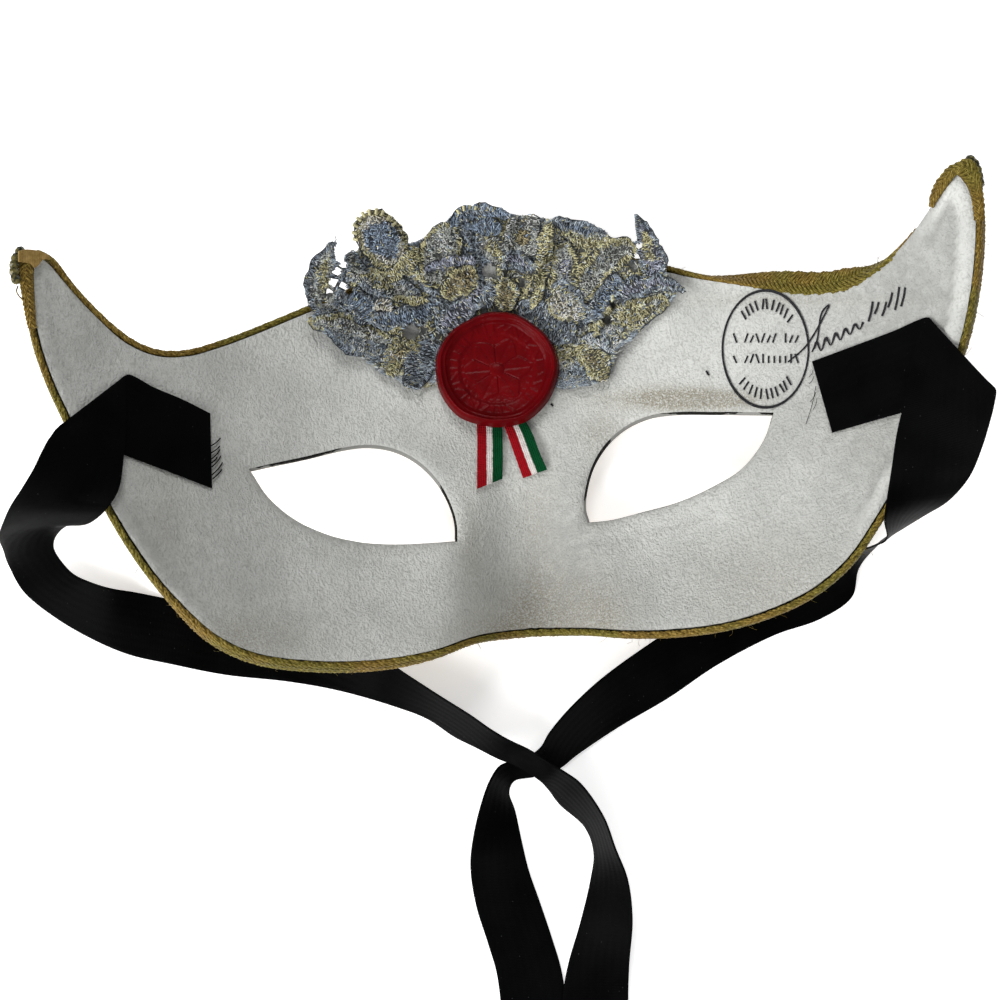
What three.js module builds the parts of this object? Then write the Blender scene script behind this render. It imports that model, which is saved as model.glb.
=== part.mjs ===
// Venetian half mask with two horns, lying on its front with the hollow side up.
// Millimetres, +Z up. The face plane is X (wearer's left to right as seen) and Y (towards the horns).
// The shell rests on two small flats, on the brow and on the end of the nose, at Z = 0.
import * as THREE from 'three';

// Shell
const wall = 2.4;
const flatDepth = 0.4; // how far the two resting flats are cut into the front
const sideRadius = 140; // curve round the face, from temple to temple
const browLineY = 28; // the brow is lowest along this line
const crownRadius = 85; // profile above the brow line
const cheekRadius = 130; // profile below the brow line
const noseTipY = -30; // the nose is lowest here
const noseBackRadius = 225; // ridge of the nose, towards the brow
const noseTurnRadius = 14; // ridge of the nose, towards the lip
const noseBlend = 1; // rounds the ridge into the brow
const noseEndY = -33;
const noseHalfWidthTop = 8.5;
const noseHalfWidthEnd = 13;
const noseShoulder = 2.6; // exponent: a rounded ridge with a flat crest
const socketDepth = 2.2;
const socketCentre = { x: 38, y: -5 };
const socketSize = { x: 26, y: 13 };
const coarseStep = 6.6; // facet size on the cheeks and horns
const fineStep = 3.6; // facet size on the nose
const outlineStep = 3.4; // shared by the shell and the braid
const eyeStep = 3.2;
const rimUpright = 0.5; // the cut edge stands halfway between square to the face and upright

// Rim braid, a flat gimp folded over the rim
const touchGap = 0.35; // between pieces that touch
const braidThickness = 1.4;
const braidWidth = 5.9; // laid flat; it covers the rim and the rest lies on the front
const braidProud = 0.2; // stands over the inner face
const braidDip = { from: 42, full: 72, fade: 80, to: 92.5, amount: 0.8 }; // sprung open along the right-hand dip
const braidTuck = { from: 90, full: 97.5, fade: 97.6, to: 101.5 }; // slipped under the rim next to it
const braidTipReach = { flat: 1.5, to: 7.5, amount: 0.5 }; // flared at the two tips
const braidTipTurn = 0.7; // the outer run of braid leads at the tips
const braidTipClear = 0.4; // and stands off a little there

// Seal, its ribbon and the lace
const sealCentre = { x: -2.2, y: 24.5 };
const sealRadius = 15;
const sealLift = 1.9; // underside over the inner face
const sealRing = [
  // radius as a share of sealRadius, height over the underside
  [0.3, 1.7],
  [0.58, 1.7],
  [0.62, 2.1],
  [0.78, 2.0],
  [0.82, 3.1],
  [0.92, 3.4],
  [0.99, 2.3],
  [1.0, 1.0],
];
const sealSteps = 36;
const sealPetals = { count: 6, height: 0.45 };
const sealRibbonThickness = 0.35;
const sealRibbonLow = 0.62; // middle of the ribbon's lower layer over the face
const sealRibbonHigh = 1.28; // middle of the layer folded back over it
const laceThickness = 0.7;
const laceInner = 9.5; // hole round the folded ribbon, under the seal
const laceFolds = 9;
const laceFoldHeight = 3.2; // at the outer edge
const laceLow = 0.42; // underside over the face, under the seal
const laceOver = 0.65; // underside over the face where it passes the braid

// Tie ribbons, satin
const tieThickness = 0.5;
const tieGlueLift = 0.9; // middle of a ribbon glued to the face
const tieFoldLift = 2.3; // middle of the ribbon folded over itself

// Tip beads
const beadRadius = 1.25;

// Where the middle of the object's footprint lies in the face plane
const footprintCentre = { x: 0.71, y: 9.59 };

// Outline of the shell, measured: right and left half, from the middle of the top to the middle of the nose
const rightHalf = {
  above: [[20, 52.4], [39.5, 45.2], [48.2, 41.4], [58.8, 37.2], [67.5, 33.4], [75.7, 30.6],
    [81.7, 30.1], [87.8, 32.7], [93.8, 37.8], [98, 43], [100.8, 46.8]],
  tip: [102.1, 47.8],
  below: [[103.4, 45.6], [104.6, 39], [104.3, 33], [102.6, 23], [99.3, 11.5], [93.5, -1],
    [86.5, -13], [77.2, -25.6], [70.3, -33.5], [61.8, -39.3], [52.4, -42.7], [42.2, -44.5],
    [31.8, -44.7], [21.4, -43.8], [11.3, -41.9]],
};
const leftHalf = {
  above: [[20, 52.4], [39.5, 45.4], [49.8, 41.2], [58.6, 37.3], [68.4, 33], [75, 30.6],
    [81.2, 30.2], [86.9, 32.6], [92.9, 39], [97.2, 45.2], [99.3, 48.5]],
  tip: [100.4, 49.4],
  below: [[101.7, 47.2], [102.5, 39.5], [102, 31.5], [100.2, 22.9], [97.2, 13.5], [94, 4],
    [89.8, -7], [83.4, -19.4], [76.6, -29], [69.4, -36.6], [60.9, -41.4], [48.2, -44.2], [38, -45],
    [29.3, -44.7], [22, -43.8], [12.4, -41.3]],
};
const topMiddle = [0, 54];
const noseMiddle = [0, -40.6];

// Eye openings: upper and lower lid, each from corner to corner
const rightEye = {
  upper: [[62.2, 4.2], [56.8, 5.4], [48.8, 7.1], [40.6, 8.5], [34, 8.6], [27.7, 6.6], [22.9, 3.1],
    [19.1, -1.7], [16.7, -7.1], [15.3, -13.1], [15.8, -16.8]],
  lower: [[15.8, -16.8], [21.1, -16.9], [29.3, -15.9], [37.7, -14.6], [45.4, -12.2], [52.9, -8.7],
    [58.8, -2.6], [62.2, 4.2]],
};
const leftEye = {
  upper: [[-63.2, 3], [-57.9, 4.2], [-49.9, 5.9], [-41.9, 7.7], [-36, 8.2], [-30, 7], [-24.5, 3.8],
    [-20, -1.3], [-17, -7.5], [-15.6, -13.5], [-15.7, -18.2]],
  lower: [[-15.7, -18.2], [-22, -18.1], [-30.1, -17.9], [-38.4, -16.8], [-46.3, -14.3], [-53.4, -10.2],
    [-59.2, -4.2], [-63.2, 3]],
};

const clamp01 = (t) => Math.min(1, Math.max(0, t));
const smooth = (t) => clamp01(t) ** 2 * (3 - 2 * clamp01(t));
const radians = THREE.MathUtils.degToRad;

// Height of the inner, hollow face over the table
function faceHeight(x, y) {
  const across = Math.abs(x);
  const side = sideRadius - Math.sqrt(sideRadius ** 2 - Math.min(across, sideRadius * 0.95) ** 2);
  const profile = (y - browLineY) ** 2 / (2 * (y > browLineY ? crownRadius : cheekRadius));
  const ridge = (y - noseTipY) ** 2 / (2 * (y > noseTipY ? noseBackRadius : noseTurnRadius));
  const sink = (profile - ridge + Math.hypot(profile - ridge, noseBlend)) / 2;
  const halfWidth = noseHalfWidthTop + (noseHalfWidthEnd - noseHalfWidthTop) * smooth(y / noseEndY);
  const nose = sink * Math.exp(-((across / halfWidth) ** noseShoulder));
  const inSocket = ((across - socketCentre.x) / socketSize.x) ** 2 + ((y - socketCentre.y) / socketSize.y) ** 2;
  return wall - flatDepth + side + profile - nose + socketDepth * Math.exp(-inSocket);
}

const onFace = (x, y, lift = 0) => new THREE.Vector3(x, y, faceHeight(x, y) + lift);
const at = (x, y, z) => new THREE.Vector3(x, y, z);

// Unit normal of the hollow face, towards the wearer
function faceNormal(x, y) {
  const d = 0.2;
  const slopeX = (faceHeight(x + d, y) - faceHeight(x - d, y)) / (2 * d);
  const slopeY = (faceHeight(x, y + d) - faceHeight(x, y - d)) / (2 * d);
  return new THREE.Vector3(-slopeX, -slopeY, 1).normalize();
}

// Evenly spaced points along a smooth line through the given ones
function spaced(points, step) {
  const line = new THREE.CatmullRomCurve3(
    points.map(([x, y]) => new THREE.Vector3(x, y, 0)), false, 'centripetal');
  line.arcLengthDivisions = 1200;
  const count = Math.round(line.getLength() / step);
  const made = line.getSpacedPoints(count).map((p) => new THREE.Vector2(p.x, p.y));
  made.pop();
  return made;
}

// The outline is two smooth lines that meet at the horn tips
const mirrored = (points) => points.map(([x, y]) => [-x, y]).reverse();
const [leftTip] = mirrored([leftHalf.tip]);
const upperEdge = [rightHalf.tip, ...[...rightHalf.above].reverse(), topMiddle,
  ...mirrored(leftHalf.above).reverse(), leftTip];
const lowerEdge = [leftTip, ...mirrored(leftHalf.below).reverse(), noseMiddle,
  ...[...rightHalf.below].reverse(), rightHalf.tip];
const outline = (step) => [...spaced(upperEdge, step), ...spaced(lowerEdge, step)];
const eyeLoop = (eye) => [...spaced(eye.upper, eyeStep), ...spaced(eye.lower, eyeStep)];

function indexedGeometry(positions, indices) {
  const geometry = new THREE.BufferGeometry();
  geometry.setAttribute('position', new THREE.Float32BufferAttribute(positions, 3));
  geometry.setIndex(indices);
  return geometry;
}

function inside(point, loop) {
  let odd = false;
  for (let i = 0, j = loop.length - 1; i < loop.length; j = i++) {
    const a = loop[i];
    const b = loop[j];
    if (a.y > point.y !== b.y > point.y
      && point.x < ((b.x - a.x) * (point.y - a.y)) / (b.y - a.y) + a.x) odd = !odd;
  }
  return odd;
}

function nearestEdge(point, loops) {
  let best = Infinity;
  for (const loop of loops) {
    loop.forEach((a, i) => {
      const b = loop[(i + 1) % loop.length];
      const along = b.clone().sub(a);
      const t = clamp01(point.clone().sub(a).dot(along) / along.lengthSq());
      best = Math.min(best, point.distanceTo(a.clone().addScaledVector(along, t)));
    });
  }
  return best;
}

// Rows of points, each row shifted by half a step, that stay clear of the edges
function fieldPoints(border, holes, step, keep) {
  const points = [];
  const rowStep = (step * Math.sqrt(3)) / 2;
  for (let row = 0, y = -60; y < 70; y += rowStep, row += 1) {
    for (let x = -120 + (row % 2) * (step / 2); x < 120; x += step) {
      const point = new THREE.Vector2(x, y);
      const solid = inside(point, border) && !holes.some((hole) => inside(point, hole));
      if (keep(point) && solid && nearestEdge(point, [border, ...holes]) > step * 0.55) points.push(point);
    }
  }
  return points;
}

// Splits the triangle each further point falls in
function addPoints(points, triangles, first) {
  const faces = triangles.map((t) => [...t]);
  const turn = (a, b, c) => (b.x - a.x) * (c.y - a.y) - (b.y - a.y) * (c.x - a.x);
  for (let p = first; p < points.length; p += 1) {
    const found = faces.findIndex((face) => face.every((a, k) => (
      turn(points[a], points[face[(k + 1) % 3]], points[p]) >= 0)));
    const [a, b, c] = faces[found];
    faces.splice(found, 1, [a, b, p], [b, c, p], [c, a, p]);
  }
  return faces;
}

// Swaps the diagonal of two neighbouring triangles wherever that makes them less slender
function evenOut(points, triangles) {
  const faces = triangles.map((t) => [...t]);
  const angle = (a, b, c) => {
    const u = points[a].clone().sub(points[c]);
    const v = points[b].clone().sub(points[c]);
    return Math.acos(THREE.MathUtils.clamp(u.dot(v) / (u.length() * v.length()), -1, 1));
  };
  for (let round = 0; round < 60; round += 1) {
    const owner = new Map();
    faces.forEach((face, f) => face.forEach((a, k) => owner.set(`${a},${face[(k + 1) % 3]}`, [f, face[(k + 2) % 3]])));
    const touched = new Set();
    let swaps = 0;
    for (const [edge, [f, c]] of owner) {
      const [a, b] = edge.split(',').map(Number);
      const other = owner.get(`${b},${a}`);
      if (!other || touched.has(f) || touched.has(other[0])) continue;
      const [g, d] = other;
      if (angle(a, b, c) + angle(b, a, d) <= Math.PI + 1e-6) continue;
      faces[f] = [a, d, c];
      faces[g] = [d, b, c];
      touched.add(f).add(g);
      swaps += 1;
    }
    if (!swaps) break;
  }
  return faces;
}

// Direction in which the cut edge leaves the hollow face
function rimDirection(normal) {
  return at(0, 0, -rimUpright).addScaledVector(normal, rimUpright - 1).normalize();
}

// The shell: one sheet of facets laid on the hollow face, its copy one wall thickness further out, and the rims
function shellGeometry() {
  const eyes = [eyeLoop(rightEye), eyeLoop(leftEye)];
  const contour = outline(outlineStep);
  const nearNose = (p) => Math.abs(p.x) < 17 && p.y < 2;
  const field = [
    ...fieldPoints(contour, eyes, coarseStep, (p) => !nearNose(p)),
    ...fieldPoints(contour, eyes, fineStep, nearNose),
  ];
  const holes = eyes.map((eye) => (THREE.ShapeUtils.isClockWise(eye) ? eye : [...eye].reverse()));
  const points = [...contour, ...holes.flat(), ...field];
  const laid = THREE.ShapeUtils.triangulateShape(contour, holes);
  const faces = evenOut(points, addPoints(points, laid, points.length - field.length));
  const count = points.length;
  const inner = points.map((p) => onFace(p.x, p.y));
  const outer = points.map((p, i) => {
    const normal = faceNormal(p.x, p.y);
    const cut = i < contour.length ? rimDirection(normal) : normal.clone().negate();
    const q = inner[i].clone().addScaledVector(cut, -wall / cut.dot(normal));
    q.z = Math.max(q.z, 0);
    return q;
  });
  const positions = [...inner, ...outer].flatMap((p) => [p.x, p.y, p.z]);
  const indices = faces.flatMap(([a, b, c]) => [a, b, c, count + a, count + c, count + b]);
  let first = 0;
  for (const loop of [contour, ...holes]) {
    loop.forEach((_, i) => {
      const a = first + i;
      const b = first + ((i + 1) % loop.length);
      indices.push(a, count + a, count + b, a, count + b, b);
    });
    first += loop.length;
  }
  return indexedGeometry(positions, indices);
}

// Section of the braid at one place: x outwards in the face, y away from the wearer.
// It covers the rim, which leans by an angle, and turns under the front, which may sag away from it.
// It may be sprung open, or tucked under the front.
function braidSection(lean, open, tuck, sag) {
  const half = braidThickness / 2;
  const along = (angle) => new THREE.Vector2(Math.sin(angle), Math.cos(angle));
  const beside = (angle) => new THREE.Vector2(Math.cos(angle), -Math.sin(angle));
  const top = beside(lean).multiplyScalar(touchGap + half).addScaledVector(along(lean), -braidProud);
  const cover = (wall + touchGap + half - top.y) / Math.cos(lean);
  const leg = cover * Math.max(0.08, 1 - 1.25 * tuck);
  const legAngle = THREE.MathUtils.lerp(lean, radians(88), open);
  const lip = braidWidth - leg;
  const lipAngle = radians(-90 + 178 * open) + Math.max(0, sag / lip) * (1 - open);
  const start = top.clone().addScaledVector(along(lean), cover - leg);
  start.addScaledVector(beside(lean), -half).addScaledVector(beside(legAngle), half);
  const slip = smooth((tuck - 0.8) / 0.2);
  start.x -= (touchGap + half + 0.6) * slip;
  start.y += 2 * half * open + 0.5 * tuck;
  const knee = start.clone().addScaledVector(along(legAngle), leg);
  const end = knee.clone().addScaledVector(along(lipAngle), lip);
  const mitre = beside(legAngle).add(beside(lipAngle));
  mitre.divideScalar(1 + beside(legAngle).dot(beside(lipAngle)));
  return [
    start.clone().addScaledVector(beside(legAngle), -half),
    start.clone().addScaledVector(beside(legAngle), half),
    knee.clone().addScaledVector(mitre, half),
    end.clone().addScaledVector(beside(lipAngle), half),
    end.clone().addScaledVector(beside(lipAngle), -half),
    knee.clone().addScaledVector(mitre, -half),
  ];
}

// Rises from one place to the next, stays, and falls away
const stretch = (x, { from, full, fade, to }) => smooth((x - from) / (full - from)) * smooth((to - x) / (to - fade));

function braidState(point) {
  const upper = point.x > 0 && point.y > 24 && point.x < 101.5;
  const dip = upper ? braidDip.amount * stretch(point.x, braidDip) : 0;
  const tuck = upper ? stretch(point.x, braidTuck) : 0;
  const { flat, to, amount } = braidTipReach;
  const flare = [rightHalf.tip, leftTip].map(([x, y]) => (
    amount * smooth((to - Math.hypot(point.x - x, point.y - y)) / (to - flat))));
  return { open: Math.max(dip, ...flare), tuck };
}

// Weight of the run of braid that leaves a place against the one that reaches it
function tipShare(point) {
  if (point.distanceTo(new THREE.Vector2(...rightHalf.tip)) < 0.1) return 1 - braidTipTurn;
  if (point.distanceTo(new THREE.Vector2(...leftTip)) < 0.1) return braidTipTurn;
  return 0.5;
}

// A closed strip: the section carried round the rim, leaning with the shell's edge
function braidGeometry() {
  const loop = outline(outlineStep);
  const sides = 6;
  const positions = [];
  const indices = [];
  loop.forEach((p, i) => {
    const before = loop[(i + loop.length - 1) % loop.length];
    const after = loop[(i + 1) % loop.length];
    const normal = faceNormal(p.x, p.y);
    const base = onFace(p.x, p.y);
    const onward = onFace(after.x, after.y).sub(base);
    const arriving = base.clone().sub(onFace(before.x, before.y));
    const share = tipShare(p);
    const tangent = onward.multiplyScalar(share).addScaledVector(arriving, 1 - share);
    const outwards = tangent.clone().cross(normal).normalize();
    const rim = rimDirection(normal);
    const lean = Math.atan2(rim.dot(outwards), -rim.dot(normal));
    if (share !== 0.5) base.addScaledVector(outwards, braidTipClear);
    const { open, tuck } = braidState(p);
    const under = base.clone().addScaledVector(outwards, -braidWidth / 2);
    const sag = under.sub(onFace(under.x, under.y)).dot(normal);
    for (const corner of braidSection(lean, open, tuck, sag)) {
      const q = base.clone().addScaledVector(outwards, corner.x).addScaledVector(normal, -corner.y);
      positions.push(q.x, q.y, q.z);
    }
    const a = i * sides;
    const b = ((i + 1) % loop.length) * sides;
    for (let k = 0; k < sides; k += 1) {
      const next = (k + 1) % sides;
      indices.push(a + k, b + next, b + k, a + k, a + next, b + next);
    }
  });
  return indexedGeometry(positions, indices);
}

// A strip of ribbon between two edges, given as pairs of points along it
function ribbonGeometry(pairs, thickness, steps) {
  const edge = (k) => new THREE.CatmullRomCurve3(pairs.map((pair) => pair[k]), false, 'centripetal');
  const [one, two] = [edge(0), edge(1)];
  const middle = (t) => one.getPoint(t).add(two.getPoint(t)).multiplyScalar(0.5);
  const positions = [];
  const indices = [];
  for (let i = 0; i <= steps; i += 1) {
    const t = i / steps;
    const d = 0.004;
    const [a, b] = [one.getPoint(t), two.getPoint(t)];
    const tangent = middle(Math.min(1, t + d)).sub(middle(Math.max(0, t - d)));
    const normal = tangent.cross(b.clone().sub(a)).normalize().multiplyScalar(thickness / 2);
    for (const q of [a.clone().add(normal), b.clone().add(normal), b.clone().sub(normal), a.clone().sub(normal)]) {
      positions.push(q.x, q.y, q.z);
    }
    if (i === steps) continue;
    for (let k = 0; k < 4; k += 1) {
      const next = (k + 1) % 4;
      const a = i * 4;
      const b = a + 4;
      indices.push(a + k, b + next, a + next, a + k, b + k, b + next);
    }
  }
  const last = steps * 4;
  indices.push(0, 1, 2, 0, 2, 3, last, last + 2, last + 1, last, last + 3, last + 2);
  return indexedGeometry(positions, indices);
}

// A closed sheet over a grid of points, with its underside
function sheetGeometry(rows, under) {
  const across = rows[0].length;
  const positions = [...rows.flat(), ...under.flat()].flatMap((p) => [p.x, p.y, p.z]);
  const indices = [];
  const low = rows.length * across;
  const quad = (a, b, c, d) => indices.push(a, c, b, a, d, c);
  for (let i = 0; i < rows.length - 1; i += 1) {
    for (let k = 0; k < across - 1; k += 1) {
      const a = i * across + k;
      quad(a, a + across, a + across + 1, a + 1);
      quad(low + a, low + a + 1, low + a + across + 1, low + a + across);
    }
    const start = i * across;
    const end = start + across - 1;
    quad(start, low + start, low + start + across, start + across);
    quad(end, end + across, low + end + across, low + end);
  }
  for (let k = 0; k < across - 1; k += 1) {
    const last = (rows.length - 1) * across + k;
    quad(k, k + 1, low + k + 1, low + k);
    quad(last, low + last, low + last + 1, last + 1);
  }
  return indexedGeometry(positions, indices);
}

// The lace: gathered under the seal, fanned out over the brow and past the rim
const laceOutline = [
  // degrees round the seal, radius
  [-16, 23], [-12, 28], [12, 34], [15, 44], [18, 50], [25, 49], [34, 51], [40, 52], [43, 46], [55, 42],
  [69, 40], [83, 40.5], [93, 42], [104, 38.7], [115, 38.5], [119, 44], [123, 50.5], [128, 51.5],
  [133, 48], [136, 47.3], [139, 51], [143, 52.3], [149, 52.8], [156, 50], [162, 49], [167, 39],
  [173, 31.5], [186, 23], [190, 20],
];

function laceGeometry() {
  const angles = [];
  laceOutline.forEach(([angle, radius], i) => {
    angles.push([angle, radius]);
    const next = laceOutline[i + 1];
    if (!next) return;
    const parts = Math.round((next[0] - angle) / 4);
    for (let k = 1; k < parts; k += 1) {
      const t = k / parts;
      angles.push([angle + (next[0] - angle) * t, radius + (next[1] - radius) * t]);
    }
  });
  const rings = [0, 0.16, 0.36, 0.6, 0.8, 1];
  const layer = (thickness) => angles.map(([angle, radius]) => rings.map((ring) => {
    const r = laceInner + (radius - laceInner) * ring;
    const x = sealCentre.x + r * Math.cos(radians(angle));
    const y = sealCentre.y + r * Math.sin(radians(angle));
    const free = smooth((r - sealRadius - 0.5) / 8);
    const wave = 0.5 + 0.5 * Math.sin(radians(angle * 2 * laceFolds + 40));
    const lift = laceLow + (laceOver - laceLow) * free + laceFoldHeight * wave * free * (r / 50);
    return onFace(x, y, lift + thickness);
  }));
  return sheetGeometry(layer(laceThickness), layer(0));
}

// The wax seal: a poured disc with a raised, uneven rim and a pressed rosette
function sealGeometry() {
  const round = (k) => (k / sealSteps) * 2 * Math.PI;
  const edge = (angle) => sealRadius * (1.005 + 0.02 * Math.cos(2 * angle) + 0.012 * Math.sin(5 * angle + 1));
  const place = (share, angle, height) => onFace(
    sealCentre.x + edge(angle) * share * Math.cos(angle),
    sealCentre.y + edge(angle) * share * Math.sin(angle),
    sealLift + height);
  const petal = (share, angle) => (share < 0.6
    ? sealPetals.height * Math.cos(sealPetals.count * angle) * Math.min(1, share / 0.3) : 0);
  const rings = [
    ...sealRing.map(([share, height]) => (angle) => place(share, angle, height + petal(share, angle))),
    (angle) => place(0.985, angle, 0),
    (angle) => place(0.5, angle, 0),
  ];
  const positions = [];
  const indices = [];
  const put = (p) => positions.push(p.x, p.y, p.z);
  put(place(0, 0, sealRing[0][1] + 0.3));
  rings.forEach((ring) => {
    for (let k = 0; k < sealSteps; k += 1) put(ring(round(k)));
  });
  put(place(0, 0, 0));
  const last = 1 + rings.length * sealSteps;
  for (let k = 0; k < sealSteps; k += 1) {
    const next = (k + 1) % sealSteps;
    indices.push(0, 1 + k, 1 + next);
    for (let i = 0; i < rings.length - 1; i += 1) {
      const a = 1 + i * sealSteps;
      const b = a + sealSteps;
      indices.push(a + k, b + k, b + next, a + k, b + next, a + next);
    }
    const under = last - sealSteps;
    indices.push(last, under + next, under + k);
  }
  return indexedGeometry(positions, indices);
}

// Small oval beads on a thread, joined at their waists
function beadsGeometry(places) {
  const line = new THREE.CatmullRomCurve3(places.map(([x, y, z]) => at(x, y, z)));
  const perBead = 4;
  const sides = 8;
  const count = places.length;
  const positions = [];
  const indices = [];
  const rings = count * perBead + 1;
  for (let i = 0; i < rings; i += 1) {
    const t = i / (rings - 1);
    const swell = Math.abs(Math.sin((i / perBead) * Math.PI));
    const radius = 0.4 + (beadRadius - 0.4) * Math.sqrt(swell);
    const middle = line.getPointAt(t);
    const tangent = line.getTangentAt(t);
    const side = tangent.clone().cross(at(0, 0, 1)).normalize();
    const up = side.clone().cross(tangent);
    for (let k = 0; k < sides; k += 1) {
      const angle = (k / sides) * 2 * Math.PI;
      const p = middle.clone().addScaledVector(side, radius * Math.cos(angle))
        .addScaledVector(up, radius * Math.sin(angle));
      positions.push(p.x, p.y, p.z);
      if (i === rings - 1) continue;
      const next = (k + 1) % sides;
      const a = i * sides;
      const b = a + sides;
      indices.push(a + k, b + next, a + next, a + k, b + k, b + next);
    }
  }
  const last = (rings - 1) * sides;
  for (let k = 1; k < sides - 1; k += 1) {
    indices.push(0, k, k + 1, last, last + k + 1, last + k);
  }
  return indexedGeometry(positions, indices);
}

// Route of the left-hand tie: glued end, crease, over the rim, down and across the table,
// through the loose knot and off as the right-hand tail. Pairs of upper and outer edge.
const glued = (x, y) => onFace(x, y, tieGlueLift);
const folded = (x, y) => onFace(x, y, tieFoldLift);
const leftTie = [
  [glued(-71, 16.5), glued(-71, -2)],
  [glued(-76.5, 19.7), glued(-79.4, 2)],
  [glued(-82, 22.3), glued(-88.8, 6.3)],
  [glued(-87.1, 25), onFace(-98.7, 11.6, 1.5)],
  [folded(-87.2, 19.9), at(-100.6, 9.1, 47)],
  [folded(-87.3, 12.8), at(-101.6, 6, 49)],
  [folded(-87.8, 4.5), at(-103.5, 2.1, 49.5)],
  [folded(-88.6, -2.6), at(-106.5, -1.6, 48.5)],
  [at(-90.4, -6.8, 42.3), at(-110.5, -4.6, 45)],
  [at(-96.7, -8.8, 36), at(-114.7, -7.2, 39)],
  [at(-105.3, -7.4, 26), at(-119, -9.2, 31)],
  [at(-112.2, -9.1, 15), at(-122.5, -10.7, 20)],
  [at(-114.1, -11.6, 8), at(-125.2, -13.4, 10)],
  [at(-112, -15.9, 4), at(-124.3, -19.6, 3)],
  [at(-107.3, -18.7, 5), at(-117.3, -26.7, 0.5)],
  [at(-102.5, -20.7, 5), at(-107.6, -33.3, 0.5)],
  [at(-97.3, -22, 2), at(-99.9, -37.3, 0.5)],
  [at(-90.3, -24.1, 0.5), at(-90.1, -40.5, 0.5)],
  [at(-75.6, -28.5, 0.5), at(-76.7, -44.5, 0.5)],
  [at(-57.2, -33.3, 0.5), at(-60.8, -47.8, 0.5)],
  [at(-42.3, -40.4, 4), at(-48.6, -51.2, 0.5)],
  [at(-30.6, -49.3, 9), at(-35.6, -56.2, 0.5)],
  [at(-23.4, -54.8, 12), at(-27.6, -60.1, 0.5)],
  [at(-16.5, -60, 13), at(-21.5, -65, 0.5)],
  [at(-12.5, -63.5, 11), at(-16.5, -68, 1.5)],
  [at(-8.5, -66.5, 9), at(-11.5, -71, 4)],
  [at(-3.5, -69.5, 8), at(-6.5, -73.5, 6)],
  [at(1, -73, 9), at(-2, -77, 4.5)],
  [at(4, -75, 13), at(0, -79.5, 2)],
  [at(7.5, -78, 14.5), at(2.5, -83.5, 1.6)],
  [at(12, -86, 15), at(8, -89.5, 1.6)],
  [at(14, -93.5, 14.5), at(9.5, -95.5, 1.6)],
  [at(16, -100.5, 13.5), at(8, -102, 1.6)],
  [at(16.5, -110.5, 9), at(4.5, -111.5, 1.6)],
  [at(15, -122, 3), at(0.5, -121, 1.4)],
  [at(14, -130, 1.4), at(-1.5, -128.5, 1.4)],
  [at(12.5, -150, 1.4), at(-3.5, -149, 1.4)],
  [at(13, -176, 0.8), at(-3, -171, 1.4)],
];

// Route of the right-hand tie, which passes under the left one in the knot
const rightTie = [
  [glued(71.9, 14.5), glued(73.2, -3.6)],
  [glued(80.9, 16), glued(82.8, -2.5)],
  [glued(88.1, 17.1), glued(93.8, -1.6)],
  [glued(94.7, 18.1), at(101.6, -0.9, 51)],
  [folded(92.5, 14.9), at(102.1, -1.9, 52.5)],
  [folded(89.9, 8.2), at(101.6, -5.1, 51.5)],
  [folded(87.3, 0), at(100.5, -9, 50)],
  [folded(84.9, -6.5), at(99.2, -13.5, 47.5)],
  [onFace(82.4, -13.9, 3), at(96.9, -18.9, 44.5)],
  [onFace(79.9, -21.2, 3.6), at(94.3, -22.7, 38)],
  [at(78.9, -26, 39), at(91.6, -24.7, 28)],
  [at(80.6, -29.3, 33.5), at(88.5, -26.6, 19.5)],
  [at(81, -30.1, 22), at(85.9, -28.8, 8)],
  [at(78.3, -30.4, 10), at(82, -33.8, 2.5)],
  [at(73.5, -31.6, 4), at(79.9, -40.6, 0.5)],
  [at(65.1, -33.8, 1.5), at(71.3, -45.3, 0.5)],
  [at(53.7, -36.8, 0.5), at(59.7, -48.1, 0.5)],
  [at(39, -42, 3), at(44.6, -54, 0.5)],
  [at(25.6, -48.6, 6), at(31.7, -60.8, 0.5)],
  [at(14.5, -55, 10), at(20, -66, 0.5)],
  [at(6.5, -61, 12), at(13, -69.5, 0.5)],
  [at(1.5, -66, 10), at(7.5, -72.5, 0.6)],
  [at(-1, -69.5, 6), at(3.5, -75, 0.8)],
  [at(-5.5, -72, 2.6), at(-3, -76.5, 1)],
  [at(-10.5, -72.5, 5), at(-8, -77, 0.8)],
  [at(-13.5, -75.5, 9), at(-9.5, -79.5, 0.6)],
  [at(-16, -80.5, 9), at(-8.5, -84, 0.6)],
  [at(-19, -89, 6), at(-7.5, -92, 0.5)],
  [at(-20.5, -96.5, 2), at(-6.5, -98.5, 0.5)],
  [at(-20, -105.5, 0.5), at(-4.5, -106.5, 0.5)],
  [at(-18, -114.5, 0.5), at(-2.5, -115, 0.5)],
  [at(-16.5, -122.5, 0.5), at(-1, -123, 0.5)],
  [at(-17, -150, 0.5), at(-0.5, -150, 0.5)],
  [at(-18, -172, 0.5), at(-1.5, -177, 0.5)],
];

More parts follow.
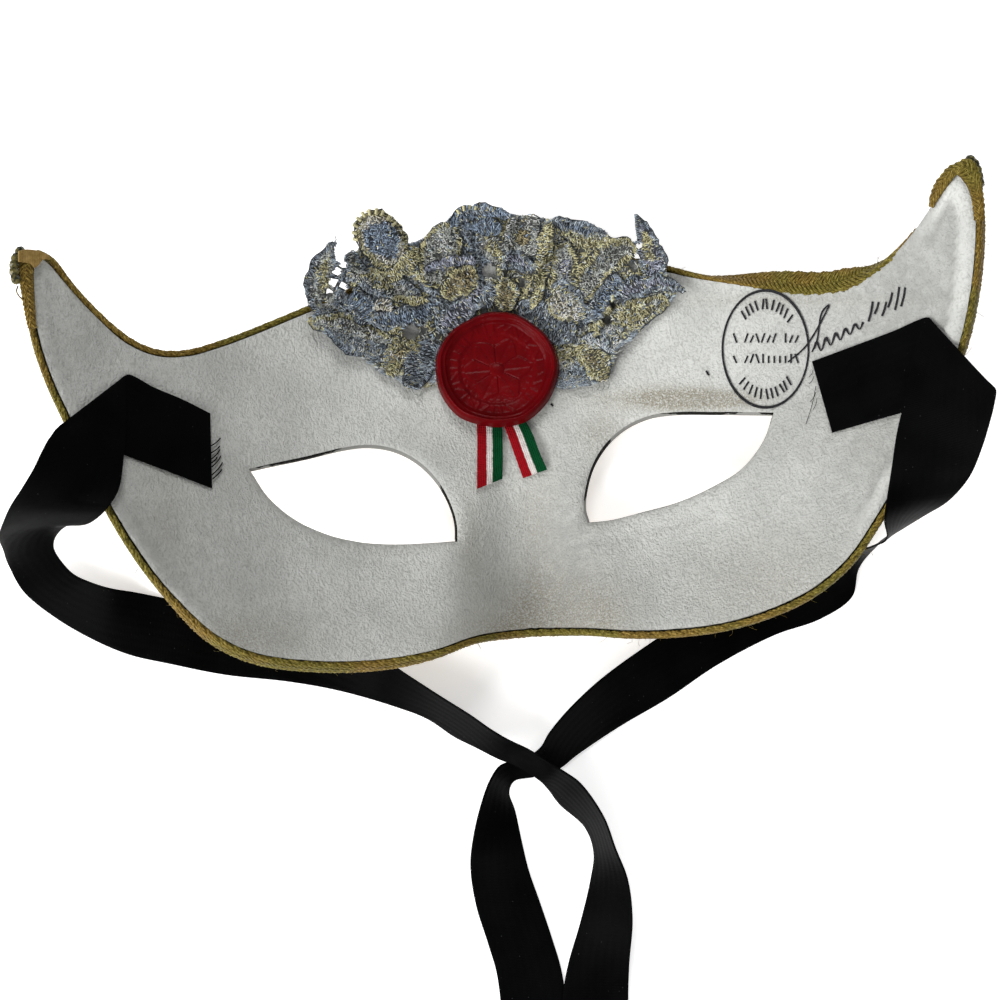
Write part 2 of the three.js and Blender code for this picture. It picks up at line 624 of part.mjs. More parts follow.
// The seal's ribbon: up the left tail, folded over itself under the seal, down the right tail
const low = (x, y) => onFace(x, y, sealRibbonLow);
const high = (x, y) => onFace(x, y, sealRibbonHigh);
const sealRibbon = [
  [onFace(-10, -5.5, 1), onFace(-3.6, -3.2, 0.9)],
  [onFace(-9.4, 1, 1.1), onFace(-3, 1.5, 1.4)],
  [low(-8.8, 7.5), low(-2.5, 7.3)],
  [low(-8.6, 10.9), low(-2.3, 10.3)],
  [low(-7.9, 18.5), low(-1.6, 17.8)],
  [low(-7.4, 24.4), low(-1.1, 23.8)],
  [onFace(-7.35, 24.8, 0.95), onFace(-1.05, 24.2, 0.95)],
  [high(-7.3, 24.4), high(-1, 23.8)],
  [high(-5.2, 18.2), high(1, 18.2)],
  [high(-2, 10.8), high(3.6, 11)],
  [high(-1, 7), high(5, 7.6)],
  [onFace(0.3, 1.5, 1.3), onFace(6.2, 2.6, 1.6)],
  [onFace(1.6, -3.5, 0.9), onFace(7.7, -2.2, 1.1)],
];

const beadPlaces = {
  left: [[-107.2, 52.2, 46.6], [-108.5, 49.7, 47], [-108.4, 47.2, 47], [-107.7, 44.4, 46.6]],
  right: [[107.6, 52.1, 48.8], [109, 50, 49], [109.8, 47.6, 49], [110, 45, 48.8]],
};

const root = new THREE.Group();
root.name = 'venetian_mask';

function add(name, geometry, finish) {
  geometry.translate(-footprintCentre.x, -footprintCentre.y, 0);
  geometry.computeVertexNormals();
  const material = new THREE.MeshStandardMaterial({ flatShading: true, ...finish });
  const mesh = new THREE.Mesh(geometry, material);
  mesh.name = name;
  root.add(mesh);
}

add('mask_shell', shellGeometry(), { name: 'plaster_white', color: 0xe6e3dc, roughness: 0.6 });
add('edge_braid', braidGeometry(), { name: 'braid_gold', color: 0x6e5626, roughness: 0.5, metalness: 0.3 });
add('lace_fan', laceGeometry(), { name: 'lace_thread', color: 0x8f99ad, roughness: 0.7 });
add('wax_seal', sealGeometry(), { name: 'wax_red', color: 0x6e0f12, roughness: 0.25 });
const steps = (route) => (route.length - 1) * 2;
add('seal_ribbon', ribbonGeometry(sealRibbon, sealRibbonThickness, (sealRibbon.length - 1) * 3), {
  name: 'ribbon_tricolour', color: 0xc9c4bb, roughness: 0.6,
});
add('ribbon_left', ribbonGeometry(leftTie, tieThickness, steps(leftTie)), {
  name: 'satin_black_left', color: 0x0c0c0e, roughness: 0.35,
});
add('ribbon_right', ribbonGeometry(rightTie, tieThickness, steps(rightTie)), {
  name: 'satin_black_right', color: 0x0c0c0e, roughness: 0.35,
});
add('tip_beads_left', beadsGeometry(beadPlaces.left), { name: 'bead_left', color: 0x4d4a22, metalness: 0.5 });
add('tip_beads_right', beadsGeometry(beadPlaces.right), { name: 'bead_right', color: 0x3c3f22, metalness: 0.5 });

export default root;
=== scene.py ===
"""Dresses a Venetian half mask that lies on its front with the hollow side up.

Lengths are millimetres in the mask's own face plane, X across the wearer's face and Y towards the
horns, with the table at Z = 0. `to_row` turns them into metres in the row frame. Places that were
read from the photograph are given as its pixels, and `Studio.on_face` lays them on the hollow face.
"""
from __future__ import annotations

import logging
import math
from dataclasses import dataclass, field
from enum import Enum
from functools import cache
from typing import Mapping, Sequence

import bpy
import bmesh
import numpy as np
from bpy.types import Material, Node, NodeSocket, NodeTree, Object
from mathutils import Matrix, Vector, noise
from mathutils.geometry import delaunay_2d_cdt

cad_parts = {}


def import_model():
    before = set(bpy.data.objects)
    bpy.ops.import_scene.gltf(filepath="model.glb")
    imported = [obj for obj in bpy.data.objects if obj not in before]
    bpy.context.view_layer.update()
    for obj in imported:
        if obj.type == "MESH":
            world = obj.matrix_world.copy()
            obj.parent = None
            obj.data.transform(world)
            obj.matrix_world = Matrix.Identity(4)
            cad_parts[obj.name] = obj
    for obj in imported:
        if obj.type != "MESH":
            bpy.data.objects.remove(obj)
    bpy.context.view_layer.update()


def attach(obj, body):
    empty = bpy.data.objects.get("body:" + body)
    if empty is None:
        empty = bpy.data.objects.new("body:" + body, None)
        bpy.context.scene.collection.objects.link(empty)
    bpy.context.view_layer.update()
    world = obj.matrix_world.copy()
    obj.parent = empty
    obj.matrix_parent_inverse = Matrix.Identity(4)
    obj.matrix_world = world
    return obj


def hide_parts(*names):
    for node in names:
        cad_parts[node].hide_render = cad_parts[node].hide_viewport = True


LOG = logging.getLogger("venetian_mask")
MM = 0.001
FOOTPRINT = np.array([0.71, 9.59, 0.0])
SEED = 7
CHUNK = 2000
Array = np.ndarray
Pairs = Sequence[tuple[float, float]]


def to_row(points: Array) -> Array:
    """Turns millimetres in the face plane's frame into metres in the row frame."""
    return (np.asarray(points, float) - FOOTPRINT) * MM


def smooth(value: Array) -> Array:
    """Eases from 0 to 1 as the value goes from 0 to 1."""
    held = np.clip(value, 0.0, 1.0)
    return held * held * (3.0 - 2.0 * held)


def unit(vectors: Array) -> Array:
    """Scales each vector to length 1."""
    return vectors / np.maximum(np.linalg.norm(vectors, axis=-1, keepdims=True), 1e-9)


def smooth_line(points: Sequence, parts: int) -> Array:
    """Samples a centripetal Catmull-Rom line.

    Args:
        points: Points of the line, in two or three dimensions.
        parts: Samples in each stretch between two points.

    Returns:
        The samples, with the last point at the end.
    """
    given = np.asarray(points, float)
    padded = np.vstack([2 * given[0] - given[1], given, 2 * given[-1] - given[-2]])
    share = np.arange(parts)[:, None] / parts
    made = []
    for before, start, end, after in zip(padded, padded[1:], padded[2:], padded[3:]):
        spans = [math.sqrt(max(np.linalg.norm(b - a), 1e-6))
                 for a, b in ((before, start), (start, end), (end, after))]
        straight = (end - start) / spans[1]
        leave = (start - before) / spans[0] - (end - before) / (spans[0] + spans[1]) + straight
        arrive = straight - (after - start) / (spans[1] + spans[2]) + (after - end) / spans[2]
        leave = leave * spans[1]
        arrive = arrive * spans[1]
        bend = -3 * start + 3 * end - 2 * leave - arrive
        twist = 2 * start - 2 * end + leave + arrive
        made.append(start + leave * share + bend * share**2 + twist * share**3)
    return np.vstack([*made, given[-1:]])


def lengths_along(points: Array) -> Array:
    """Gives the distance from the first point to each point of a line."""
    steps = np.linalg.norm(np.diff(points, axis=0), axis=1)
    return np.concatenate([[0.0], np.cumsum(steps)])


def pick_along(points: Array, places: Array) -> Array:
    """Interpolates a line at distances from its start."""
    reached = lengths_along(points)
    return np.stack([np.interp(places, reached, points[:, k]) for k in range(points.shape[1])], axis=1)


def spaced(points: Sequence, step: float) -> Array:
    """Gives evenly spaced points on a smooth line through the given ones, without its end.

    Args:
        points: Points in the plane.
        step: Distance between the points.

    Returns:
        Evenly spaced points.
    """
    line = smooth_line(points, 24)
    total = lengths_along(line)[-1]
    return pick_along(line, np.linspace(0.0, total, max(2, round(total / step)) + 1))[:-1]


def inside(points: Array, loop: Array) -> Array:
    """Tells which points lie within a closed loop in the plane.

    Args:
        points: Points in the plane.
        loop: The closed loop.

    Returns:
        True for each point inside.
    """
    x, y = points[:, 0, None], points[:, 1, None]
    ahead = np.roll(loop, -1, axis=0)
    crosses = (loop[:, 1] > y) != (ahead[:, 1] > y)
    rise = np.where(ahead[:, 1] == loop[:, 1], 1e-9, ahead[:, 1] - loop[:, 1])
    meets = (ahead[:, 0] - loop[:, 0]) * (y - loop[:, 1]) / rise + loop[:, 0]
    return (crosses & (x < meets)).sum(axis=1) % 2 == 1


def edge_distance(points: Array, loop: Array) -> Array:
    """Gives each point's distance from a closed loop in the plane.

    Args:
        points: Points in the plane.
        loop: The closed loop.

    Returns:
        Distance of each point from the loop.
    """
    along = np.roll(loop, -1, axis=0) - loop
    best = np.full(len(points), 1e9)
    for start in range(0, len(points), CHUNK):
        part = points[start:start + CHUNK, None, :2] - loop[None]
        share = np.clip((part * along).sum(-1) / np.maximum((along**2).sum(-1), 1e-9), 0, 1)
        best[start:start + CHUNK] = np.linalg.norm(part - share[..., None] * along, axis=-1).min(axis=1)
    return best


def rough(points: Array, size: float, seed: int = 0, octaves: int = 3) -> Array:
    """Smooth noise from -1 to 1 at each point, with features of about the given size.

    Args:
        points: Points in the plane.
        size: Size of the bumps.
        seed: Seed of the draws.
        octaves: How many sizes are summed.

    Returns:
        One height for each point.
    """
    made = np.zeros(len(points))
    for i, point in enumerate(points):
        place = Vector((*point, 0.0)[:3]) / size + Vector((seed * 7.3, seed * 3.1, seed * 1.7))
        made[i] = noise.fractal(place, 0.9, 2.1, octaves)
    return made


def turns(forward: Array, up: Array) -> Array:
    """XYZ Euler angles of frames with X forward and Z as near to up as that allows.

    Args:
        forward: Directions of travel.
        up: Directions towards the front.

    Returns:
        A turn for each direction.
    """
    x = unit(forward)
    y = unit(np.cross(up, x))
    z = np.cross(x, y)
    return np.stack(
        [np.arctan2(y[:, 2], z[:, 2]), np.arcsin(np.clip(-x[:, 2], -1, 1)), np.arctan2(x[:, 1], x[:, 0])],
        axis=1)


@dataclass(frozen=True)
class HollowFace:
    """The inner, hollow face of the shell as a height over the table."""

    wall: float = 2.4
    flat_depth: float = 0.4
    side_radius: float = 140.0
    brow_line: float = 28.0
    crown_radius: float = 85.0
    cheek_radius: float = 130.0
    nose_tip: float = -30.0
    nose_back_radius: float = 225.0
    nose_turn_radius: float = 14.0
    nose_end: float = -33.0
    nose_half_widths: tuple[float, float] = (8.5, 13.0)
    nose_shoulder: float = 2.6
    socket_depth: float = 2.2
    socket_centre: tuple[float, float] = (38.0, -5.0)
    socket_size: tuple[float, float] = (26.0, 13.0)

    def height(self, x: Array, y: Array) -> Array:
        """Height of the inner face over the table.

        Args:
            x: Places across.
            y: Places up.

        Returns:
            Height of the hollow face.
        """
        across = np.abs(x)
        reach = np.minimum(across, self.side_radius * 0.95)
        side = self.side_radius - np.sqrt(self.side_radius**2 - reach**2)
        radius = np.where(y > self.brow_line, self.crown_radius, self.cheek_radius)
        profile = (y - self.brow_line) ** 2 / (2 * radius)
        turn = np.where(y > self.nose_tip, self.nose_back_radius, self.nose_turn_radius)
        ridge = (y - self.nose_tip) ** 2 / (2 * turn)
        sink = (profile - ridge + np.hypot(profile - ridge, 1.0)) / 2
        top, end = self.nose_half_widths
        half = top + (end - top) * smooth(y / self.nose_end)
        nose = sink * np.exp(-((across / half) ** self.nose_shoulder))
        u = (across - self.socket_centre[0]) / self.socket_size[0]
        v = (y - self.socket_centre[1]) / self.socket_size[1]
        socket = self.socket_depth * np.exp(-(u * u + v * v))
        return self.wall - self.flat_depth + side + profile - nose + socket

    def normal(self, x: Array, y: Array) -> Array:
        """Unit normal of the face, towards the wearer.

        Args:
            x: Places across.
            y: Places up.

        Returns:
            Unit normals.
        """
        d = 0.2
        slope_x = (self.height(x + d, y) - self.height(x - d, y)) / (2 * d)
        slope_y = (self.height(x, y + d) - self.height(x, y - d)) / (2 * d)
        return unit(np.stack([-slope_x, -slope_y, np.ones_like(slope_x)], axis=-1))

    def lay(self, plane: Array, lift: Array | float = 0.0) -> Array:
        """Puts points of the face plane on the face, or a lift above it.

        Args:
            plane: Points of the face plane.
            lift: Height over the surface.

        Returns:
            Points in space.
        """
        plane = np.asarray(plane, float)
        z = self.height(plane[..., 0], plane[..., 1]) + lift
        return np.concatenate([plane[..., :2], z[..., None]], axis=-1)


FACE = HollowFace()


@dataclass(frozen=True)
class Studio:
    """The photograph's camera, a pale floor and soft light."""

    distance: float = 320.0
    target: tuple[float, float, float] = (-4.65, -7.72, 0.0)
    turn: float = 5.66
    lean: float = -8.0
    side: float = -0.09
    focal: float = 1269.84
    frame: float = 1000.0
    sensor: float = 36.0
    sight_start: float = 20.0
    sight_steps: int = 40
    sight_pace: float = 0.7
    floor_reach: float = 2500.0
    sky: float = 0.33

    def axes(self) -> Array:
        """Rows are the camera's right, up and backward directions.

        Returns:
            One row for each direction.
        """
        a, b, r = (math.radians(v) for v in (self.lean, self.side, self.turn))
        about_y = np.array([[math.cos(b), 0, -math.sin(b)], [0, 1, 0], [math.sin(b), 0, math.cos(b)]])
        about_x = np.array([[1, 0, 0], [0, math.cos(a), -math.sin(a)], [0, math.sin(a), math.cos(a)]])
        about_z = np.array([[math.cos(r), -math.sin(r), 0], [math.sin(r), math.cos(r), 0], [0, 0, 1]])
        return about_z @ about_x @ about_y

    def eye(self) -> Array:
        """Place of the lens."""
        return np.array(self.target) + self.axes().T @ np.array([0, 0, self.distance])

    def project(self, points: Array) -> Array:
        """Pixels at which points show in the photograph.

        Args:
            points: Points in space.

        Returns:
            Pixels of the photograph.
        """
        seen = (np.asarray(points) - self.target) @ self.axes().T
        depth = self.distance - seen[..., 2]
        half = self.frame / 2
        return np.stack(
            [half + self.focal * seen[..., 0] / depth, half - self.focal * seen[..., 1] / depth], axis=-1)

    def on_face(self, pixels: Array, lift: Array | float = 0.0) -> Array:
        """Finds where the lines of sight through pixels meet the face, or a lift above it.

        Args:
            pixels: Pixels of the photograph.
            lift: Height over the surface.

        Returns:
            Points in space.
        """
        pixels = np.asarray(pixels, float)
        flat = pixels.reshape(-1, 2)
        half = self.frame / 2
        local = np.stack(
            [(flat[:, 0] - half) / self.focal, -(flat[:, 1] - half) / self.focal, -np.ones(len(flat))],
            axis=1)
        ways = local @ self.axes()
        lift = np.broadcast_to(np.asarray(lift, float), pixels.shape[:-1]).reshape(-1)
        eye = self.eye()
        reach = (eye[2] - self.sight_start) / -ways[:, 2]
        for _ in range(self.sight_steps):
            here = eye + reach[:, None] * ways
            over = here[:, 2] - FACE.height(here[:, 0], here[:, 1]) - lift
            reach = reach + self.sight_pace * over / -ways[:, 2]
        return (eye + reach[:, None] * ways).reshape(*pixels.shape[:-1], 3)

    def build_camera(self) -> None:
        """Adds the camera and makes it the scene's own."""
        camera = bpy.data.objects.new("camera", bpy.data.cameras.new("camera"))
        camera.data.sensor_width = self.sensor
        camera.data.lens = self.focal * self.sensor / self.frame
        camera.data.clip_start = 0.01
        turned = Matrix(self.axes().T.tolist()).to_4x4()
        camera.matrix_world = Matrix.Translation(to_row(self.eye())) @ turned
        bpy.context.collection.objects.link(camera)
        bpy.context.scene.camera = camera

    def build_floor(self) -> None:
        """Adds the pale floor."""
        corners = np.array([(-1, -1, 0), (1, -1, 0), (1, 1, 0), (-1, 1, 0)]) * self.floor_reach
        floor = make_object("floor", corners, [(0, 1, 2, 3)], Paper().material())

    def build_lights(self) -> None:
        """Adds a soft key, three fills and an even sky."""
        for name, place, size, power in (
            ("key_light", (-950, -950, 925), 900, 18.6),
            ("near_light", (150, -1150, 900), 400, 3.0),
            ("left_light", (-1200, -120, 660), 600, 8.6),
            ("far_light", (0, 1012, 1144), 600, 8.3),
        ):
            light = bpy.data.lights.new(name, "AREA")
            light.shape = "DISK"
            light.size = size * MM
            light.energy = power
            lamp = bpy.data.objects.new(name, light)
            spot = Vector(place) * MM
            lamp.matrix_world = Matrix.Translation(spot) @ spot.to_track_quat("Z", "Y").to_matrix().to_4x4()
            bpy.context.collection.objects.link(lamp)
        world = bpy.data.worlds.new("studio")
        world.use_nodes = True
        background = world.node_tree.nodes["Background"].inputs
        background["Color"].default_value = (1.0, 1.0, 1.0, 1.0)
        background["Strength"].default_value = self.sky
        scene = bpy.context.scene
        scene.world = world
        scene.view_settings.view_transform = "Standard"


STUDIO = Studio()


class Graph:
    """Adds and links the nodes of one tree."""

    def __init__(self, tree: NodeTree) -> None:
        """Takes the tree to build in."""
        self.tree = tree

    def feed(self, node: Node, key: str | int, value: object) -> None:
        """Links an input of a node to a socket, or gives it a plain value.

        Args:
            node: The node.
            key: Name or number of the socket.
            value: A socket to link or a plain value.
        """
        if isinstance(value, NodeSocket):
            self.tree.links.new(value, node.inputs[key])
        else:
            node.inputs[key].default_value = value

    def add(self, kind: str, inputs: Mapping | None = None, **settings: object) -> Node:
        """Adds a node, with its settings and inputs.

        Args:
            kind: Type of the node.
            inputs: Sockets or values by name.

        Returns:
            The new node.
        """
        node = self.tree.nodes.new(kind)
        for name, value in settings.items():
            setattr(node, name, value)
        for key, value in (inputs or {}).items():
            self.feed(node, key, value)
        return node

    def out(self, kind: str, inputs: Mapping | None = None, **settings: object) -> NodeSocket:
        """Adds a node and gives its first output."""
        return self.add(kind, inputs, **settings).outputs[0]

    def math(self, operation: str, a: object, b: object = 0.0, clamp: bool = False) -> NodeSocket:
        """One sum, product or other operation."""
        return self.out("ShaderNodeMath", {0: a, 1: b}, operation=operation, use_clamp=clamp)

    def plus(self, a: object, b: object) -> NodeSocket:
        """The sum of two values."""
        return self.math("ADD", a, b)

    def minus(self, a: object, b: object) -> NodeSocket:
        """The first value less the second."""
        return self.math("SUBTRACT", a, b)

    def times(self, a: object, b: object, clamp: bool = False) -> NodeSocket:
        """The product of two values, held from 0 to 1 if it is clamped."""
        return self.math("MULTIPLY", a, b, clamp)

    def mix(self, factor: object, a: object, b: object) -> NodeSocket:
        """Mixes two colours."""
        return self.add("ShaderNodeMix", {0: factor, 6: a, 7: b}, data_type="RGBA").outputs[2]

    def scaled(self, vector: object, size: Sequence[float]) -> NodeSocket:
        """Scales a vector along each axis."""
        return self.out("ShaderNodeVectorMath", {0: vector, 1: size}, operation="MULTIPLY")

    def noise(self, place: object, scale: float, detail: float = 2.0) -> NodeSocket:
        """Noise from 0 to 1."""
        return self.out("ShaderNodeTexNoise", {"Vector": place, "Scale": scale, "Detail": detail})

    def band(self, value: object, low: float, high: float) -> NodeSocket:
        """Rises from 0 to 1 between two values."""
        return self.out(
            "ShaderNodeMapRange", {0: value, 1: low, 2: high}, clamp=True, interpolation_type="SMOOTHSTEP")

    def ramp(self, value: object, stops: Sequence[tuple[float, tuple]]) -> NodeSocket:
        """Colours along a value.

        Args:
            value: A socket to link or a plain value.
            stops: Places and their colours.

        Returns:
            The colour.
        """
        node = self.add("ShaderNodeValToRGB", {0: value})
        elements = node.color_ramp.elements
        while len(elements) < len(stops):
            elements.new(0.5)
        for element, (place, colour) in zip(elements, stops):
            element.position = place
            element.color = (*colour[:3], 1.0)
        return node.outputs[0]

    def field(self, name: str, part: str = "Fac") -> NodeSocket:
        """Reads an attribute of the mesh."""
        return self.add("ShaderNodeAttribute", attribute_name=name).outputs[part]

    def bump(self, height: object, distance: float, strength: float = 1.0) -> NodeSocket:
        """Normal of a relief whose full height is given in millimetres."""
        return self.out(
            "ShaderNodeBump", {"Height": height, "Distance": distance * MM, "Strength": strength})


def shader_group(
        name: str, inputs: Sequence[tuple[str, str]], outputs: Sequence[tuple[str, str]]
) -> tuple[NodeTree, Graph, Node, Node]:
    """Starts a shader node group.

    Args:
        name: Name of the group.
        inputs: Name and kind of each input.
        outputs: Name and kind of each output.

    Returns:
        The group, its graph, and its input and output nodes.
    """
    group = bpy.data.node_groups.new(name, "ShaderNodeTree")
    for way, sockets in (("INPUT", inputs), ("OUTPUT", outputs)):
        for label, kind in sockets:
            group.interface.new_socket(label, in_out=way, socket_type=kind)
    graph = Graph(group)
    return group, graph, graph.add("NodeGroupInput"), graph.add("NodeGroupOutput")


class Groups:
    """Shader effects that several materials share."""

    FLOAT = "NodeSocketFloat"
    VECTOR = "NodeSocketVector"

    @classmethod
    @cache
    def grain(cls) -> NodeTree:
        """Pebbles and fine creases of hide or dried paint: a height and a cloudy mask.

        Returns:
            The node group.
        """
        group, graph, given, made = shader_group(
            "grain", [("Place", cls.VECTOR)], [("Height", cls.FLOAT), ("Cloud", cls.FLOAT)])
        place = given.outputs["Place"]
        warp = graph.add("ShaderNodeTexNoise", {"Vector": place, "Scale": 0.5, "Detail": 2.0}).outputs[1]
        bent = graph.out("ShaderNodeVectorMath", {0: place, 1: warp}, operation="ADD")
        cells = graph.out(
            "ShaderNodeTexVoronoi", {"Vector": bent, "Scale": 1.6, "Smoothness": 0.5}, feature="SMOOTH_F1")
        fine = graph.noise(bent, 3.2, 3.0)
        creases = graph.noise(graph.scaled(bent, (1.0, 0.4, 1.0)), 1.1, 4.0)
        folded = graph.math("ABSOLUTE", graph.minus(creases, 0.5))
        height = graph.plus(graph.times(cells, -0.45), graph.times(fine, 0.5))
        height = graph.plus(height, graph.times(folded, 1.6))
        graph.feed(made, "Height", height)
        graph.feed(made, "Cloud", graph.noise(place, 0.06, 5.0))
        return group

    @classmethod
    @cache
    def twist(cls) -> NodeTree:
        """Plies of a twisted yarn, from the distance along it and the direction round it.

        Returns:
            The node group.
        """
        group, graph, given, made = shader_group(
            "twist",
            [("Along", cls.FLOAT), ("Girth", cls.VECTOR), ("Pitch", cls.FLOAT), ("Plies", cls.FLOAT)],
            [("Ply", cls.FLOAT)])
        parts = graph.add("ShaderNodeSeparateXYZ", {0: given.outputs["Girth"]}).outputs
        angle = graph.math("ARCTAN2", parts[1], parts[0])
        run = graph.math("DIVIDE", given.outputs["Along"], given.outputs["Pitch"])
        phase = graph.plus(graph.times(angle, given.outputs["Plies"]), graph.times(run, 2 * math.pi))
        graph.feed(made, "Ply", graph.math("ABSOLUTE", graph.math("SINE", graph.times(phase, 0.5))))
        return group

    @classmethod
    @cache
    def weave(cls) -> NodeTree:
        """Warp and weft of a woven ribbon, from its own measure in millimetres.

        Returns:
            The node group.
        """
        group, graph, given, made = shader_group(
            "weave", [("Measure", cls.VECTOR), ("Warp", cls.FLOAT), ("Weft", cls.FLOAT)],
            [("Thread", cls.FLOAT)])
        parts = graph.add("ShaderNodeSeparateXYZ", {0: given.outputs["Measure"]}).outputs
        warp = graph.math("SINE", graph.times(parts[0], given.outputs["Warp"]))
        weft = graph.math("SINE", graph.times(parts[1], given.outputs["Weft"]))
        graph.feed(made, "Thread", graph.plus(graph.times(warp, 0.5), graph.times(weft, 0.5)))
        return group


@dataclass(frozen=True)
class Finish:
    """A finish and its material. Plain values sit on the shader, and `paint` links what varies."""

    name: str
    roughness: float = 0.6
    metallic: float = 0.0
    sheen: float = 0.0
    coat: float = 0.0
    specular: float = 0.5
    subsurface: float = 0.0

    def material(self) -> Material:
        """Makes the material, or gives the one made before.

        Returns:
            The material.
        """
        known = bpy.data.materials.get(self.name)
        if known:
            return known
        made = bpy.data.materials.new(self.name)
        made.use_nodes = True
        shader = made.node_tree.nodes["Principled BSDF"]
        for socket, value in (
                ("Roughness", self.roughness), ("Metallic", self.metallic), ("Sheen Weight", self.sheen),
                ("Coat Weight", self.coat), ("Specular IOR Level", self.specular),
                ("Subsurface Weight", self.subsurface)):
            shader.inputs[socket].default_value = value
        shader.inputs["Coat Roughness"].default_value = 0.12
        shader.inputs["Subsurface Scale"].default_value = 0.001
        graph = Graph(made.node_tree)
        place = graph.scaled(graph.add("ShaderNodeTexCoord").outputs["Object"], (1000.0,) * 3)
        for key, value in self.paint(graph, place).items():
            graph.feed(shader, key, value)
        return made

    def paint(self, graph: Graph, place: NodeSocket) -> dict[str, object]:
        """Makes what varies over the surface.

        Args:
            graph: Graph of the material.
            place: Place on the object in millimetres.

        Returns:
            What goes into the shader's sockets.
        """
        raise NotImplementedError

    @staticmethod
    def group(graph: Graph, tree: NodeTree, inputs: Mapping) -> Node:
        """Adds a shared effect."""
        return graph.add("ShaderNodeGroup", inputs, node_tree=tree)

    def woven(self, graph: Graph, warp: float, weft: float) -> NodeSocket:
        """Threads of a woven band, with their turns in a millimetre across and along it.

        Args:
            graph: Graph of the tree.
            warp: Radians in a millimetre across.
            weft: Radians in a millimetre along.

        Returns:
            Height of the threads.
        """
        measure = graph.out("ShaderNodeUVMap", uv_map="measure")
        millimetres = graph.scaled(measure, (1000.0, 1000.0, 1.0))
        inputs = {"Measure": millimetres, "Warp": warp, "Weft": weft}
        return self.group(graph, Groups.weave(), inputs).outputs[0]


@dataclass(frozen=True)
class Paper(Finish):
    """Plain pale paper under the object."""

    name: str = "floor_paper"
    roughness: float = 0.9
    specular: float = 0.2
    colour: tuple = (0.93, 0.93, 0.93)
    glow: float = 0.52

    def paint(self, graph: Graph, place: NodeSocket) -> dict[str, object]:
        """Faintly clouded white that glows a little.

        Args:
            graph: Graph of the material.
            place: Place on the object in millimetres.

        Returns:
            What goes into the shader's sockets.
        """
        cloud = graph.noise(place, 0.02, 3.0)
        low = tuple(0.985 * c for c in self.colour)
        return {
            "Base Color": graph.ramp(cloud, [(0.3, low), (0.7, self.colour)]),
            "Normal": graph.bump(graph.noise(place, 3.0, 2.0), 0.02, 0.2),
            "Emission Color": (1.0, 1.0, 1.0, 1.0),
            "Emission Strength": self.glow,
        }


@dataclass(frozen=True)
class WhiteLining(Finish):
    """Painted hide on the hollow side: pebbled, stained, a little grey."""

    name: str = "white_lining"
    roughness: float = 0.55
    specular: float = 0.35
    sheen: float = 0.05
    white: tuple = (0.576, 0.582, 0.556)
    grey: tuple = (0.474, 0.480, 0.457)
    beige: tuple = (0.272, 0.250, 0.192)
    # Grey that the white is darkened towards where it is painted in shade.
    painted_shade: tuple = (0.270, 0.272, 0.258)

    def paint(self, graph: Graph, place: NodeSocket) -> dict[str, object]:
        """White over grey with stains and specks, darkened towards grey in patches and in the pits of the
        grain as painted shade, and smooth where glue has run.

        Args:
            graph: Graph of the material.
            place: Place on the object in millimetres.

        Returns:
            What goes into the shader's sockets.
        """
        grain = self.group(graph, Groups.grain(), {"Place": place})
        colour = graph.ramp(grain.outputs["Cloud"], [(0.34, self.grey), (0.62, self.white)])
        stain = graph.field("stain")
        patchy = graph.band(graph.noise(place, 0.35, 4.0), 0.25, 0.7)
        speckled = graph.band(graph.noise(place, 2.4, 4.0), 0.34, 0.62)
        amount = graph.times(stain, graph.plus(graph.times(speckled, 1.1), 0.18), clamp=True)
        colour = graph.mix(amount, colour, (*self.beige, 1.0))
        # The white is darkened towards grey as painted shade, patchily, where the points' field asks for it.
        painted_shading = graph.times(graph.field("painted_shading"), graph.plus(graph.times(patchy, 0.4), 0.5), clamp=True)
        colour = graph.mix(painted_shading, colour, (*self.painted_shade, 1.0))
        speck = graph.out("ShaderNodeTexVoronoi", {"Vector": place, "Scale": 0.14, "Randomness": 1.0})
        colour = graph.mix(
            graph.minus(1.0, graph.band(speck, 0.012, 0.03)), colour, (0.10, 0.09, 0.08, 1.0))
        # The low pits of the grain are darkened towards grey as painted shade.
        painted_pit_shade = graph.band(grain.outputs["Height"], -0.12, 0.16)
        colour = graph.mix(graph.times(graph.minus(1.0, painted_pit_shade), 0.5), colour, (0.27, 0.27, 0.25, 1.0))
        calm = graph.minus(1.0, graph.times(graph.field("glue"), 0.75))
        height = graph.times(grain.outputs["Height"], calm)
        return {
            "Base Color": colour,
            "Normal": graph.bump(height, 0.44),
            "Roughness": graph.plus(graph.times(calm, 0.25), 0.32),
        }


@dataclass(frozen=True)
class OldGold(Finish):
    """Gilded front with a pale blue ground showing through at the brow."""

    name: str = "old_gold"
    roughness: float = 0.42
    metallic: float = 0.75
    gold: tuple = (0.44, 0.29, 0.085)
    dark: tuple = (0.15, 0.09, 0.025)
    blue: tuple = (0.30, 0.42, 0.47)

    def paint(self, graph: Graph, place: NodeSocket) -> dict[str, object]:
        """Worn gold, with the blue ground where the field asks for it.

        Args:
            graph: Graph of the material.
            place: Place on the object in millimetres.

        Returns:
            What goes into the shader's sockets.
        """
        grain = self.group(graph, Groups.grain(), {"Place": place})
        colour = graph.ramp(graph.noise(place, 0.25, 6.0), [(0.32, self.dark), (0.6, self.gold)])
        ground = graph.times(graph.field("ground"), graph.band(graph.noise(place, 0.5, 5.0), 0.42, 0.56))
        return {
            "Base Color": graph.mix(ground, colour, (*self.blue, 1.0)),
            "Metallic": graph.times(graph.minus(1.0, ground), 0.75),
            "Normal": graph.bump(grain.outputs["Height"], 0.15),
        }


